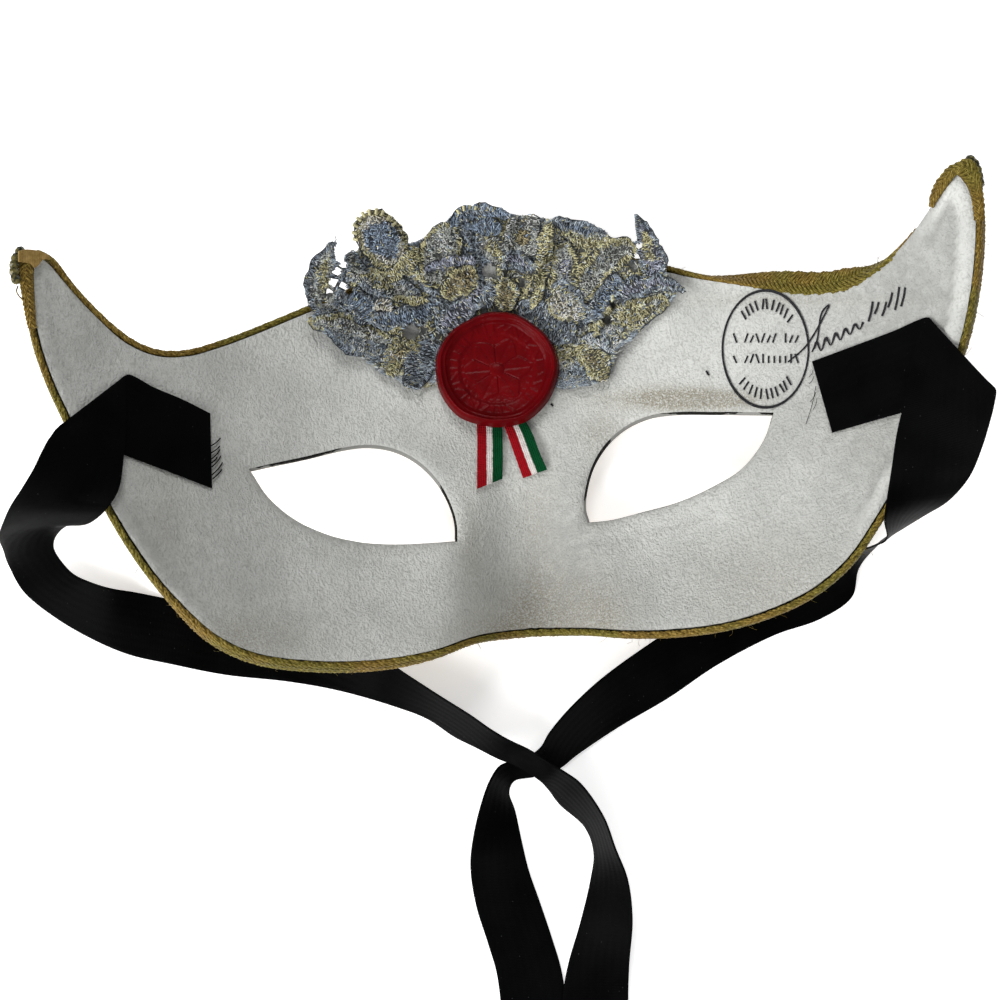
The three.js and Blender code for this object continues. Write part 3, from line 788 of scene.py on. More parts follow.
@dataclass(frozen=True)
class EdgePaint(Finish):
    """Black paint on the cut edges, worn in places, and fading towards the hollow face into white that is
    darkened to grey as painted shade.
    """

    name: str = "edge_black"
    roughness: float = 0.5
    specular: float = 0.08
    # The edge's white is darkened well below the lining's white as painted shade on the cut edge.
    white: tuple = (0.230, 0.230, 0.215)

    def paint(self, graph: Graph, place: NodeSocket) -> dict[str, object]:
        """Ragged black that ends towards the hollow face in white darkened to grey as painted shade.

        Args:
            graph: Graph of the material.
            place: Place on the object in millimetres.

        Returns:
            What goes into the shader's sockets.
        """
        wear = graph.band(graph.noise(place, 0.9, 4.0), 0.60, 0.70)
        black = graph.mix(wear, (0.006, 0.006, 0.005, 1.0), (0.06, 0.055, 0.045, 1.0))
        ragged = graph.times(graph.minus(graph.noise(place, 0.55, 5.0), 0.5), 0.9)
        reach = graph.band(graph.plus(graph.field("ink"), ragged), 0.50, 0.62)
        return {
            "Base Color": graph.mix(reach, (*self.white, 1.0), black),
            "Normal": graph.bump(graph.noise(place, 2.0, 3.0), 0.08),
        }


@dataclass(frozen=True)
class GoldYarn(Finish):
    """Metallic yarn of the rim braid, brown gold to olive."""

    name: str = "gold_yarn"
    roughness: float = 0.5
    metallic: float = 0.2
    specular: float = 0.12
    pitch: float = 2.1

    def paint(self, graph: Graph, place: NodeSocket) -> dict[str, object]:
        """Gold and olive plies, darkened in the grooves between them as painted shade.

        Args:
            graph: Graph of the material.
            place: Place on the object in millimetres.

        Returns:
            What goes into the shader's sockets.
        """
        along = graph.times(graph.field("along"), 1000.0)
        girth = graph.field("girth", "Vector")
        inputs = {"Along": along, "Girth": girth, "Pitch": self.pitch, "Plies": 4.0}
        ply = self.group(graph, Groups.twist(), inputs).outputs[0]
        cloud = graph.noise(place, 0.05, 3.0)
        fleck = graph.noise(place, 1.7, 4.0)
        colour = graph.ramp(
            fleck,
            [(0.30, (0.092, 0.058, 0.011)), (0.50, (0.200, 0.128, 0.024)), (0.70, (0.36, 0.250, 0.065))])
        olive = graph.ramp(
            fleck,
            [(0.30, (0.064, 0.053, 0.010)), (0.50, (0.158, 0.130, 0.021)), (0.70, (0.29, 0.243, 0.058))])
        colour = graph.mix(graph.band(cloud, 0.42, 0.58), colour, olive)
        # The grooves between the plies are darkened to brown as painted shade.
        groove = graph.band(ply, 0.0, 0.4)
        colour = graph.mix(groove, (0.055, 0.036, 0.007, 1.0), colour)
        hairs = graph.noise(graph.scaled(place, (2.0, 2.0, 2.0)), 2.4, 3.0)
        return {
            "Base Color": colour,
            "Normal": graph.bump(graph.plus(graph.times(ply, 0.8), graph.times(hairs, 0.5)), 0.2),
        }


@dataclass(frozen=True)
class GimpCloth(Finish):
    """Bare woven end of the braid, tan gold."""

    name: str = "gimp_cloth"
    roughness: float = 0.6
    specular: float = 0.15
    tan: tuple = (0.335, 0.220, 0.070)
    brown: tuple = (0.200, 0.125, 0.032)

    def paint(self, graph: Graph, place: NodeSocket) -> dict[str, object]:
        """Cloudy tan over a plain weave.

        Args:
            graph: Graph of the material.
            place: Place on the object in millimetres.

        Returns:
            What goes into the shader's sockets.
        """
        thread = self.woven(graph, 11.0, 11.0)
        cloud = graph.noise(place, 0.8, 4.0)
        return {
            "Base Color": graph.ramp(cloud, [(0.32, self.brown), (0.6, self.tan)]),
            "Normal": graph.bump(thread, 0.05),
        }


@dataclass(frozen=True)
class LaceThread(Finish):
    """Silk and metal threads, tinted stitch by stitch."""

    name: str = "lace_silk"
    roughness: float = 0.42
    specular: float = 0.35

    def paint(self, graph: Graph, place: NodeSocket) -> dict[str, object]:
        """The tint of each stitch, darkened between its fibres as painted shade.

        Args:
            graph: Graph of the material.
            place: Place on the object in millimetres.

        Returns:
            What goes into the shader's sockets.
        """
        tint = graph.field("tint", "Color")
        fibre = graph.noise(place, 5.0, 2.0)
        # Between the fibres the tint drops to 45 % as painted shade.
        dark = graph.out("ShaderNodeVectorMath", {0: tint, "Scale": 0.45}, operation="SCALE")
        return {
            "Base Color": graph.mix(graph.band(fibre, 0.32, 0.62), dark, tint),
            "Metallic": graph.times(graph.field("shine"), 0.7),
            "Normal": graph.bump(fibre, 0.06),
        }


@dataclass(frozen=True)
class SealingWax(Finish):
    """Dark red sealing wax with a soft polish."""

    name: str = "sealing_wax"
    roughness: float = 0.36
    specular: float = 0.05
    subsurface: float = 0.04
    red: tuple = (0.118, 0.0016, 0.0030)
    deep: tuple = (0.080, 0.0013, 0.0024)

    def paint(self, graph: Graph, place: NodeSocket) -> dict[str, object]:
        """Clouded red with a soft, uneven polish.

        Args:
            graph: Graph of the material.
            place: Place on the object in millimetres.

        Returns:
            What goes into the shader's sockets.
        """
        cloud = graph.noise(place, 0.16, 4.0)
        colour = graph.ramp(cloud, [(0.3, self.deep), (0.66, self.red)])
        return {
            "Base Color": colour,
            "Roughness": graph.plus(graph.times(cloud, 0.22), 0.10),
            "Normal": graph.bump(graph.noise(place, 0.9, 4.0), 0.12),
        }


@dataclass(frozen=True)
class Satin(Finish):
    """Black satin ribbon: fine floats across, dull grosgrain along the edges."""

    name: str = "satin_black"
    roughness: float = 0.45
    specular: float = 0.016
    black: tuple = (0.0009, 0.0009, 0.0010)

    def paint(self, graph: Graph, place: NodeSocket) -> dict[str, object]:
        """Black with specks of lint over fine floats.

        Args:
            graph: Graph of the material.
            place: Place on the object in millimetres.

        Returns:
            What goes into the shader's sockets.
        """
        thread = self.woven(graph, 3.2, 17.0)
        cloud = graph.noise(place, 0.08, 3.0)
        lint = graph.out("ShaderNodeTexVoronoi", {"Vector": place, "Scale": 0.5})
        colour = graph.ramp(cloud, [(0.35, self.black), (0.7, tuple(2.2 * c for c in self.black))])
        colour = graph.mix(graph.minus(1.0, graph.band(lint, 0.02, 0.05)), colour, (0.06, 0.06, 0.06, 1.0))
        return {
            "Base Color": colour,
            "Roughness": graph.plus(graph.times(cloud, 0.2), 0.34),
            "Normal": graph.bump(thread, 0.02),
        }


@dataclass(frozen=True)
class Tricolour(Finish):
    """Narrow woven ribbon in three bands."""

    name: str = "tricolour"
    roughness: float = 0.65
    specular: float = 0.05
    red: tuple = (0.29, 0.004, 0.009)
    white: tuple = (0.70, 0.64, 0.62)
    green: tuple = (0.0012, 0.056, 0.017)
    bands: tuple[float, float] = (0.37, 0.60)

    def paint(self, graph: Graph, place: NodeSocket) -> dict[str, object]:
        """Three soiled bands over a coarse weave.

        Args:
            graph: Graph of the material.
            place: Place on the object in millimetres.

        Returns:
            What goes into the shader's sockets.
        """
        share = graph.out("ShaderNodeUVMap", uv_map="share")
        across = graph.out("ShaderNodeSeparateXYZ", {0: share})
        wander = graph.times(graph.minus(graph.noise(place, 1.2, 3.0), 0.5), 0.05)
        across = graph.plus(across, wander)
        colour = graph.mix(
            graph.band(across, self.bands[0] - 0.02, self.bands[0] + 0.02), (*self.red, 1.0),
            (*self.white, 1.0))
        colour = graph.mix(
            graph.band(across, self.bands[1] - 0.02, self.bands[1] + 0.02), colour, (*self.green, 1.0))
        thread = self.woven(graph, 13.0, 15.0)
        soil = graph.ramp(
            graph.noise(place, 0.7, 4.0), [(0.3, (0.78, 0.77, 0.75)), (0.65, (1.0, 1.0, 1.0))])
        colour = graph.add(
            "ShaderNodeMix", {0: 1.0, 6: colour, 7: soil}, data_type="RGBA",
            blend_type="MULTIPLY").outputs[2]
        return {"Base Color": colour, "Normal": graph.bump(thread, 0.10)}


@dataclass(frozen=True)
class BeadGlass(Finish):
    """Dark green glass with a gold lining."""

    name: str = "bead_glass"
    roughness: float = 0.16
    metallic: float = 0.1
    coat: float = 0.1
    specular: float = 0.25
    dark: tuple = (0.010, 0.014, 0.007)
    gold: tuple = (0.150, 0.125, 0.040)

    def paint(self, graph: Graph, place: NodeSocket) -> dict[str, object]:
        """Dark glass flecked with gold.

        Args:
            graph: Graph of the material.
            place: Place on the object in millimetres.

        Returns:
            What goes into the shader's sockets.
        """
        fleck = graph.noise(place, 1.1, 4.0)
        return {
            "Base Color": graph.ramp(fleck, [(0.42, self.dark), (0.64, self.gold)]),
            "Normal": graph.bump(fleck, 0.05),
        }


@dataclass(frozen=True)
class Ink(Finish):
    """Black ink printed and written on the lining."""

    name: str = "black_ink"
    roughness: float = 0.6
    specular: float = 0.2

    def paint(self, graph: Graph, place: NodeSocket) -> dict[str, object]:
        """Black, worn in places.

        Args:
            graph: Graph of the material.
            place: Place on the object in millimetres.

        Returns:
            What goes into the shader's sockets.
        """
        worn = graph.band(graph.noise(place, 2.2, 4.0), 0.62, 0.76)
        return {
            "Base Color": graph.mix(worn, (0.010, 0.010, 0.012, 1.0), (0.14, 0.14, 0.13, 1.0)),
            "Normal": graph.bump(graph.noise(place, 2.6, 2.0), 0.03),
        }


def make_object(
        name: str, points: Array, faces: Sequence, material: Material | Sequence | None = None,
        kinds: Sequence[int] | None = None, uvs: Mapping[str, Array] | None = None,
        fields: Mapping[str, Array] | None = None, closed: bool = False, crease: float = 50.0) -> Object:
    """Makes a mesh object at the origin, with its place in its mesh.

    Args:
        name: Name of the object.
        points: Vertices in millimetres in the face plane's frame.
        faces: Vertex numbers of each face, or pairs of them for a mesh of edges.
        material: One material or several.
        kinds: Which material each face takes.
        uvs: For each UV map, a pair of numbers for each vertex.
        fields: Attributes, a number or three or four of them for each vertex.
        closed: True if the faces close, so that their normals can be turned outwards.
        crease: Faces that meet more sharply than this many degrees show an edge.

    Returns:
        The object, linked to the scene.
    """
    mesh = bpy.data.meshes.new(name)
    edges = [] if len(faces[0]) > 2 else list(faces)
    mesh.from_pydata(to_row(points).tolist(), edges, [] if edges else list(faces))
    for given in material if isinstance(material, (list, tuple)) else [material]:
        if given:
            mesh.materials.append(given)
    if kinds is not None:
        mesh.polygons.foreach_set("material_index", np.asarray(kinds, np.int32))
    corners = np.zeros(len(mesh.loops), np.int32)
    mesh.loops.foreach_get("vertex_index", corners)
    for label, values in (uvs or {}).items():
        layer = mesh.uv_layers.new(name=label)
        layer.uv.foreach_set("vector", np.asarray(values, np.float32)[corners].ravel())
    for label, values in (fields or {}).items():
        values = np.asarray(values, np.float32)
        shape, key = {
            1: ("FLOAT", "value"), 3: ("FLOAT_VECTOR", "vector"),
            4: ("FLOAT_COLOR", "color")}[1 if values.ndim == 1 else values.shape[1]]
        mesh.attributes.new(label, shape, "POINT").data.foreach_set(key, values.ravel())
    if not edges:
        if closed:
            turned = bmesh.new()
            turned.from_mesh(mesh)
            bmesh.ops.recalc_face_normals(turned, faces=turned.faces)
            turned.to_mesh(mesh)
            turned.free()
        mesh.shade_smooth()
        mesh.set_sharp_from_angle(angle=math.radians(crease))
    made = bpy.data.objects.new(name, mesh)
    bpy.context.collection.objects.link(made)
    return made


def settle(piece: Object, slot: str, *nodes: str) -> Object:
    """Lets a piece ride on the mask, and hides the CAD nodes it stands for.

    Args:
        piece: The object.
        slot: Its slot; not used.

    Returns:
        The same object.
    """
    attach(piece, "root")
    if nodes:
        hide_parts(*nodes)
    return piece


def sheet_faces(rows: int, columns: int, keep: Array | None = None, wrap: bool = False) -> list[tuple]:
    """Faces of a closed sheet: a grid, its underside and the walls where it ends.

    Args:
        rows: Rows of points. The underside's points follow the upper side's.
        columns: Points in a row.
        keep: Which cells of the grid exist, all by default.
        wrap: True if the last row meets the first.

    Returns:
        The faces.
    """
    cells = rows if wrap else rows - 1
    keep = np.ones((cells, columns - 1), bool) if keep is None else keep
    low = rows * columns
    faces = []

    def lives(i: int, k: int) -> bool:
        """True if a cell exists."""
        if wrap:
            i %= cells
        return 0 <= i < cells and 0 <= k < columns - 1 and bool(keep[i, k])

    for i in range(cells):
        for k in range(columns - 1):
            if not keep[i, k]:
                continue
            a, b = i * columns + k, ((i + 1) % rows) * columns + k
            faces.append((a, b, b + 1, a + 1))
            faces.append((low + a, low + a + 1, low + b + 1, low + b))
            sides = (
                ((i - 1, k), a, a + 1), ((i + 1, k), b + 1, b), ((i, k - 1), b, a),
                ((i, k + 1), a + 1, b + 1))
            for there, p, q in sides:
                if not lives(*there):
                    faces.append((p, q, low + q, low + p))
    return faces


def both_sides(upper: Array, under: Array) -> Array:
    """Points of a sheet's upper side, followed by those of its underside."""
    return np.concatenate([upper.reshape(-1, 3), under.reshape(-1, 3)])


def join_parts(parts: Sequence[tuple[Array, Sequence]]) -> tuple[Array, list]:
    """Joins parts, each given as its points and its faces, into one.

    Args:
        parts: Points and faces of each part.

    Returns:
        All points and faces.
    """
    faces, first = [], 0
    for points, made in parts:
        faces += [tuple(first + v for v in face) for face in made]
        first += len(points)
    return np.vstack([points for points, _ in parts]), faces


class GeometryTrees:
    """Geometry node trees for what repeats or follows a path."""

    @staticmethod
    def start(name: str, inputs: Sequence[tuple[str, str, object]]) -> tuple[NodeTree, Graph, Mapping]:
        """Starts a tree with a geometry input, the named inputs and a material.

        Args:
            name: Its name.
            inputs: Name, kind and first value of each input.

        Returns:
            The tree, its graph and its inputs.
        """
        tree = bpy.data.node_groups.new(name, "GeometryNodeTree")
        face = tree.interface
        face.new_socket("Geometry", in_out="INPUT", socket_type="NodeSocketGeometry")
        face.new_socket("Geometry", in_out="OUTPUT", socket_type="NodeSocketGeometry")
        for label, kind, value in inputs:
            socket = face.new_socket(label, in_out="INPUT", socket_type=kind)
            socket.default_value = value
        face.new_socket("Material", in_out="INPUT", socket_type="NodeSocketMaterial")
        graph = Graph(tree)
        return tree, graph, graph.add("NodeGroupInput").outputs

    @staticmethod
    def end(graph: Graph, geometry: NodeSocket, material: NodeSocket) -> None:
        """Ends a tree: instances become real, and the material is set.

        Args:
            graph: Graph of the tree.
            geometry: Socket with the geometry.
            material: Its material.
        """
        real = graph.out("GeometryNodeRealizeInstances", {0: geometry})
        dressed = graph.out("GeometryNodeSetMaterial", {"Geometry": real, "Material": material})
        smooth_shade = graph.out("GeometryNodeSetShadeSmooth", {"Geometry": dressed})
        graph.add("NodeGroupOutput", {0: smooth_shade})

    @staticmethod
    def named(graph: Graph, name: str, kind: str) -> NodeSocket:
        """Reads a named attribute."""
        return graph.out("GeometryNodeInputNamedAttribute", {"Name": name}, data_type=kind)

    @classmethod
    @cache
    def yarn(cls) -> NodeTree:
        """Turns lines of edges into yarns, with the distance along them and the direction round them.

        Returns:
            The node tree.
        """
        tree, graph, given = cls.start(
            "yarn", [("Radius", "NodeSocketFloat", 0.0004), ("Sides", "NodeSocketInt", 6)])
        lines = graph.out("GeometryNodeMeshToCurve", {0: given["Geometry"]})
        run = graph.add("GeometryNodeSplineParameter").outputs["Length"]
        lines = graph.out(
            "GeometryNodeStoreNamedAttribute", {"Geometry": lines, "Name": "along", "Value": run},
            data_type="FLOAT", domain="POINT")
        ring = graph.out(
            "GeometryNodeCurvePrimitiveCircle", {"Resolution": given["Sides"], "Radius": given["Radius"]},
            mode="RADIUS")
        place = graph.out("GeometryNodeInputPosition")
        round_it = graph.out("ShaderNodeVectorMath", {0: place}, operation="NORMALIZE")
        ring = graph.out(
            "GeometryNodeStoreNamedAttribute", {"Geometry": ring, "Name": "girth", "Value": round_it},
            data_type="FLOAT_VECTOR", domain="POINT")
        tube = graph.out(
            "GeometryNodeCurveToMesh", {"Curve": lines, "Profile Curve": ring, "Fill Caps": True})
        cls.end(graph, tube, given["Material"])
        return tree

    @classmethod
    @cache
    def stitches(cls) -> NodeTree:
        """Puts a bowed stitch, or a closed loop, on each point, turned and sized by its attributes.

        Returns:
            The node tree.
        """
        tree, graph, given = cls.start(
            "stitches",
            [("Loop", "NodeSocketBool", False), ("Thickness", "NodeSocketFloat", 0.12),
            ("Bow", "NodeSocketFloat", 0.4)])
        middle = graph.out("ShaderNodeCombineXYZ", {2: given["Bow"]})
        arc = graph.out(
            "GeometryNodeCurveQuadraticBezier",
            {"Resolution": 2, "Start": (-0.5, 0.0, 0.0), "Middle": middle, "End": (0.5, 0.0, 0.0)})
        ring = graph.out(
            "GeometryNodeCurvePrimitiveCircle", {"Resolution": 8, "Radius": 0.42}, mode="RADIUS")
        line = graph.out("GeometryNodeSwitch", {0: given["Loop"], 1: arc, 2: ring}, input_type="GEOMETRY")
        profile = graph.out(
            "GeometryNodeCurvePrimitiveCircle", {"Resolution": 3, "Radius": given["Thickness"]},
            mode="RADIUS")
        stitch = graph.out(
            "GeometryNodeCurveToMesh", {"Curve": line, "Profile Curve": profile, "Fill Caps": True})
        turn = graph.out("FunctionNodeEulerToRotation", {0: cls.named(graph, "turn", "FLOAT_VECTOR")})
        sewn = graph.out(
            "GeometryNodeInstanceOnPoints",
            {"Points": given["Geometry"], "Instance": stitch, "Rotation": turn,
            "Scale": cls.named(graph, "size", "FLOAT_VECTOR")})
        cls.end(graph, sewn, given["Material"])
        return tree

    @staticmethod
    def grow(name: str, source: Object, tree: NodeTree, values: Mapping) -> Object:
        """Runs a tree on an object and puts the result in its place as a plain mesh.

        Args:
            name: Its name.
            source: Object that it grows from.
            tree: Node tree that grows it.
            values: Values of its inputs.

        Returns:
            The grown object.
        """
        modifier = source.modifiers.new(tree.name, "NODES")
        modifier.node_group = tree
        for item in tree.interface.items_tree:
            if item.in_out == "INPUT" and item.name in values:
                modifier[item.identifier] = values[item.name]
        graph = bpy.context.evaluated_depsgraph_get()
        mesh = bpy.data.meshes.new_from_object(source.evaluated_get(graph), depsgraph=graph)
        mesh.name = name
        plain = source.data
        bpy.data.objects.remove(source)
        bpy.data.meshes.remove(plain)
        made = bpy.data.objects.new(name, mesh)
        bpy.context.collection.objects.link(made)
        LOG.info("%s: %d faces", name, len(mesh.polygons))
        return made


def yarn_lines(name: str, lines: Sequence[Array], radius: float, material: Material, sides: int = 5,
               loops: bool = False, fields: Mapping[str, Array] | None = None) -> Object:
    """Makes yarns along lines of points.

    Args:
        name: Name of the piece.
        lines: The lines, each an array of points in millimetres.
        radius: Radius of the yarn in millimetres.
        material: Its material.
        sides: Sides of its section.
        loops: True if each line closes on itself.
        fields: Attributes of the lines' points.

    Returns:
        The piece.
    """
    edges, first = [], 0
    for line in lines:
        count = len(line)
        edges += [(first + i, first + i + 1) for i in range(count - 1)]
        if loops:
            edges.append((first + count - 1, first))
        first += count
    source = make_object(name + "_lines", np.vstack(lines), edges, fields=fields)
    return GeometryTrees.grow(
        name, source, GeometryTrees.yarn(), {"Radius": radius * MM, "Sides": sides, "Material": material})


@dataclass(frozen=True)
class Strip:
    """A flat band between two edges that are given as pairs of points along it."""

    pairs: Sequence[tuple[Sequence[float], Sequence[float]]]
    thickness: float
    parts: int = 6
    columns: tuple[float, ...] = (0.0, 0.03, 0.08, 0.3, 0.5, 0.7, 0.92, 0.97, 1.0)
    selvage: float = 0.0

    def edges(self) -> tuple[Array, Array]:
        """The two edges as smooth lines."""
        one, two = (smooth_line([pair[k] for pair in self.pairs], self.parts) for k in (0, 1))
        return one, two

    def centre(self) -> Array:
        """Points on the middle line, one for each pair."""
        return np.array([(np.array(a) + np.array(b)) / 2 for a, b in self.pairs])

    def length(self) -> float:
        """Length of the middle line."""
        one, two = self.edges()
        return float(lengths_along((one + two) / 2)[-1])

    def build(self, name: str, material: Material) -> Object:
        """Makes the band as a closed sheet with its measure across and along as UV.

        Args:
            name: Its name.
            material: Its material.

        Returns:
            The object.
        """
        one, two = self.edges()
        middle = (one + two) / 2
        tangent = unit(np.gradient(middle, axis=0))
        normal = unit(np.cross(tangent, two - one))
        shares = np.array(self.columns)
        grid = one[:, None] + (two - one)[:, None] * shares[None, :, None]
        edge_share = np.minimum(shares, 1 - shares)
        thicker = 1 + self.selvage * (edge_share < 0.06)
        half = self.thickness / 2 * thicker * np.where(edge_share < 0.001, 0.6, 1.0)
        rise = normal[:, None] * half[None, :, None]
        rows, columns = grid.shape[:2]
        points = both_sides(grid + rise, grid - rise)
        width = np.linalg.norm(two - one, axis=1)
        run = lengths_along(middle)
        across = np.broadcast_to(shares, (rows, columns))
        measure = np.stack(
            [across * width[:, None] * MM, np.broadcast_to(run[:, None] * MM, (rows, columns))], -1)
        share = np.stack([across, np.broadcast_to(run[:, None] / run[-1], (rows, columns))], -1)
        both = {
            "measure": np.tile(measure.reshape(-1, 2), (2, 1)),
            "share": np.tile(share.reshape(-1, 2), (2, 1))}
        return make_object(name, points, sheet_faces(rows, columns), material, uvs=both, closed=True)


def folded(x: float, y: float, lift: float = 2.3) -> tuple[float, float, float]:
    """A place over the face, by default one where a tie lies folded over itself."""
    return (x, y, float(FACE.height(np.array(x), np.array(y))) + lift)


def glued(x: float, y: float) -> tuple[float, float, float]:
    """A place where a tie is glued to the face."""
    return folded(x, y, 0.9)


LEFT_TIE = [
    (glued(-71, 16.5), glued(-71, -2)), (glued(-76.5, 19.7), glued(-79.4, 2)),
    (glued(-82, 22.3), glued(-88.8, 6.3)), (glued(-87.1, 25), folded(-98.7, 11.6, 1.5)),
    (folded(-87.2, 19.9), (-100.6, 9.1, 47)), (folded(-87.3, 12.8), (-101.6, 6, 49)),
    (folded(-87.8, 4.5), (-103.5, 2.1, 49.5)), (folded(-88.6, -2.6), (-106.5, -1.6, 48.5)),
    ((-90.4, -6.8, 42.3), (-110.5, -4.6, 45)), ((-96.7, -8.8, 36), (-114.7, -7.2, 39)),
    ((-105.3, -7.4, 26), (-119, -9.2, 31)), ((-112.2, -9.1, 15), (-122.5, -10.7, 20)),
    ((-114.1, -11.6, 8), (-125.2, -13.4, 10)), ((-112, -15.9, 4), (-124.3, -19.6, 3)),
    ((-107.3, -18.7, 5), (-117.3, -26.7, 0.5)), ((-102.5, -20.7, 5), (-107.6, -33.3, 0.5)),
    ((-97.3, -22, 2), (-99.9, -37.3, 0.5)), ((-90.3, -24.1, 0.5), (-90.1, -40.5, 0.5)),
    ((-75.6, -28.5, 0.5), (-76.7, -44.5, 0.5)), ((-57.2, -33.3, 0.5), (-60.8, -47.8, 0.5)),
    ((-42.3, -40.4, 4), (-48.6, -51.2, 0.5)), ((-30.6, -49.3, 9), (-35.6, -56.2, 0.5)),
    ((-23.4, -54.8, 12), (-27.6, -60.1, 0.5)), ((-16.5, -60, 13), (-21.5, -65, 0.5)),
    ((-12.5, -63.5, 11), (-16.5, -68, 1.5)), ((-8.5, -66.5, 9), (-11.5, -71, 4)),
    ((-3.5, -69.5, 8), (-6.5, -73.5, 6)), ((1, -73, 9), (-2, -77, 4.5)), ((4, -75, 13), (0, -79.5, 2)),
    ((7.5, -78, 14.5), (2.5, -83.5, 1.6)), ((12, -86, 15), (8, -89.5, 1.6)),
    ((14, -93.5, 14.5), (9.5, -95.5, 1.6)), ((16, -100.5, 13.5), (8, -102, 1.6)),
    ((16.5, -110.5, 9), (4.5, -111.5, 1.6)), ((15, -122, 3), (0.5, -121, 1.4)),
    ((14, -130, 1.4), (-1.5, -128.5, 1.4)), ((12.5, -150, 1.4), (-3.5, -149, 1.4)),
    ((13, -176, 0.8), (-3, -171, 1.4)),
]
RIGHT_TIE = [
    (glued(71.9, 14.5), glued(73.2, -3.6)), (glued(80.9, 16), glued(82.8, -2.5)),
    (glued(88.1, 17.1), glued(93.8, -1.6)), (glued(94.7, 18.1), (101.6, -0.9, 51)),
    (folded(92.5, 14.9), (102.1, -1.9, 52.5)), (folded(89.9, 8.2), (101.6, -5.1, 51.5)),
    (folded(87.3, 0), (100.5, -9, 50)), (folded(84.9, -6.5), (99.2, -13.5, 47.5)),
    (folded(82.4, -13.9, 3), (96.9, -18.9, 44.5)), (folded(79.9, -21.2, 3.6), (94.3, -22.7, 38)),
    ((78.9, -26, 39), (91.6, -24.7, 28)), ((80.6, -29.3, 33.5), (88.5, -26.6, 19.5)),
    ((81, -30.1, 22), (85.9, -28.8, 8)), ((78.3, -30.4, 10), (82, -33.8, 2.5)),
    ((73.5, -31.6, 4), (79.9, -40.6, 0.5)), ((65.1, -33.8, 1.5), (71.3, -45.3, 0.5)),
    ((53.7, -36.8, 0.5), (59.7, -48.1, 0.5)), ((39, -42, 3), (44.6, -54, 0.5)),
    ((25.6, -48.6, 6), (31.7, -60.8, 0.5)), ((14.5, -55, 10), (20, -66, 0.5)),
    ((6.5, -61, 12), (13, -69.5, 0.5)), ((1.5, -66, 10), (7.5, -72.5, 0.6)),
    ((-1, -69.5, 6), (3.5, -75, 0.8)), ((-5.5, -72, 2.6), (-3, -76.5, 1)),
    ((-10.5, -72.5, 5), (-8, -77, 0.8)), ((-13.5, -75.5, 9), (-9.5, -79.5, 0.6)),
    ((-16, -80.5, 9), (-8.5, -84, 0.6)), ((-19, -89, 6), (-7.5, -92, 0.5)),
    ((-20.5, -96.5, 2), (-6.5, -98.5, 0.5)), ((-20, -105.5, 0.5), (-4.5, -106.5, 0.5)),
    ((-18, -114.5, 0.5), (-2.5, -115, 0.5)), ((-16.5, -122.5, 0.5), (-1, -123, 0.5)),
    ((-17, -150, 0.5), (-0.5, -150, 0.5)), ((-18, -172, 0.5), (-1.5, -177, 0.5)),
]
LEFT_FRAYS = (
    ((211, 446), (220.4, 438)), ((211, 453), (219.9, 446)), ((211.5, 459), (220, 449.5)),
    ((212, 467), (221, 455.7)), ((212, 475), (222.6, 462.5)), ((212.5, 479), (222, 469)),
    ((211.5, 463), (217, 457)),
)
RIGHT_FRAYS = (
    ((816, 386), (806, 424)), ((814, 376), (809, 384)), ((816, 392), (810, 402)),
    ((813, 370), (809, 377)), ((817, 398), (813, 410)),
)


@dataclass(frozen=True)
class Tie:
    """One of the two satin ribbons that tie the mask on."""

    side: str
    route: Sequence
    length: float
    frays: Sequence[tuple[tuple[float, float], tuple[float, float]]]
    fray_radius: float = 0.15
    width: float = 16.5
    thickness: float = 0.36

    def build(self) -> None:
        """Makes the ribbon and the loose threads at its glued end."""
        strip = Strip(self.route, self.thickness, parts=7, selvage=0.35)
        finish = Satin().material()
        ribbon = strip.build(f"tie_{self.side}", finish)
        LOG.info("tie %s is %.1f mm long", self.side, strip.length())
        settle(ribbon, f"satin_black_{self.side}", f"ribbon_{self.side}")
        lines = []
        for start, end in self.frays:
            bend = ((start[0] + end[0]) / 2 + 1.0, (start[1] + end[1]) / 2)
            line = smooth_line([start, bend, end], 4)
            lift = np.linspace(1.0, 0.5, len(line))
            lines.append(STUDIO.on_face(line, lift))
        frays = settle(yarn_lines(f"tie_{self.side}_frays", lines, self.fray_radius, finish, 5),
                       f"satin_black_{self.side}")
        path = to_row(strip.centre())


SEAL_CENTRE = np.array([-2.2, 24.5])
RIGHT_HALF = {
    "above": [(20, 52.4), (39.5, 45.2), (48.2, 41.4), (58.8, 37.2), (67.5, 33.4), (75.7, 30.6), (81.7, 30.1),
              (87.8, 32.7), (93.8, 37.8), (98, 43), (100.8, 46.8)],
    "tip": (102.1, 47.8),
    "below": [(103.4, 45.6), (104.6, 39), (104.3, 33), (102.6, 23), (99.3, 11.5), (93.5, -1), (86.5, -13),
              (77.2, -25.6), (70.3, -33.5), (61.8, -39.3), (52.4, -42.7), (42.2, -44.5), (31.8, -44.7),
              (21.4, -43.8), (11.3, -41.9)],
}
LEFT_HALF = {
    "above": [(20, 52.4), (39.5, 45.4), (49.8, 41.2), (58.6, 37.3), (68.4, 33), (75, 30.6), (81.2, 30.2),
              (86.9, 32.6), (92.9, 39), (97.2, 45.2), (99.3, 48.5)],
    "tip": (100.4, 49.4),
    "below": [(101.7, 47.2), (102.5, 39.5), (102, 31.5), (100.2, 22.9), (97.2, 13.5), (94, 4), (89.8, -7),
              (83.4, -19.4), (76.6, -29), (69.4, -36.6), (60.9, -41.4), (48.2, -44.2), (38, -45),
              (29.3, -44.7), (22, -43.8), (12.4, -41.3)],
}
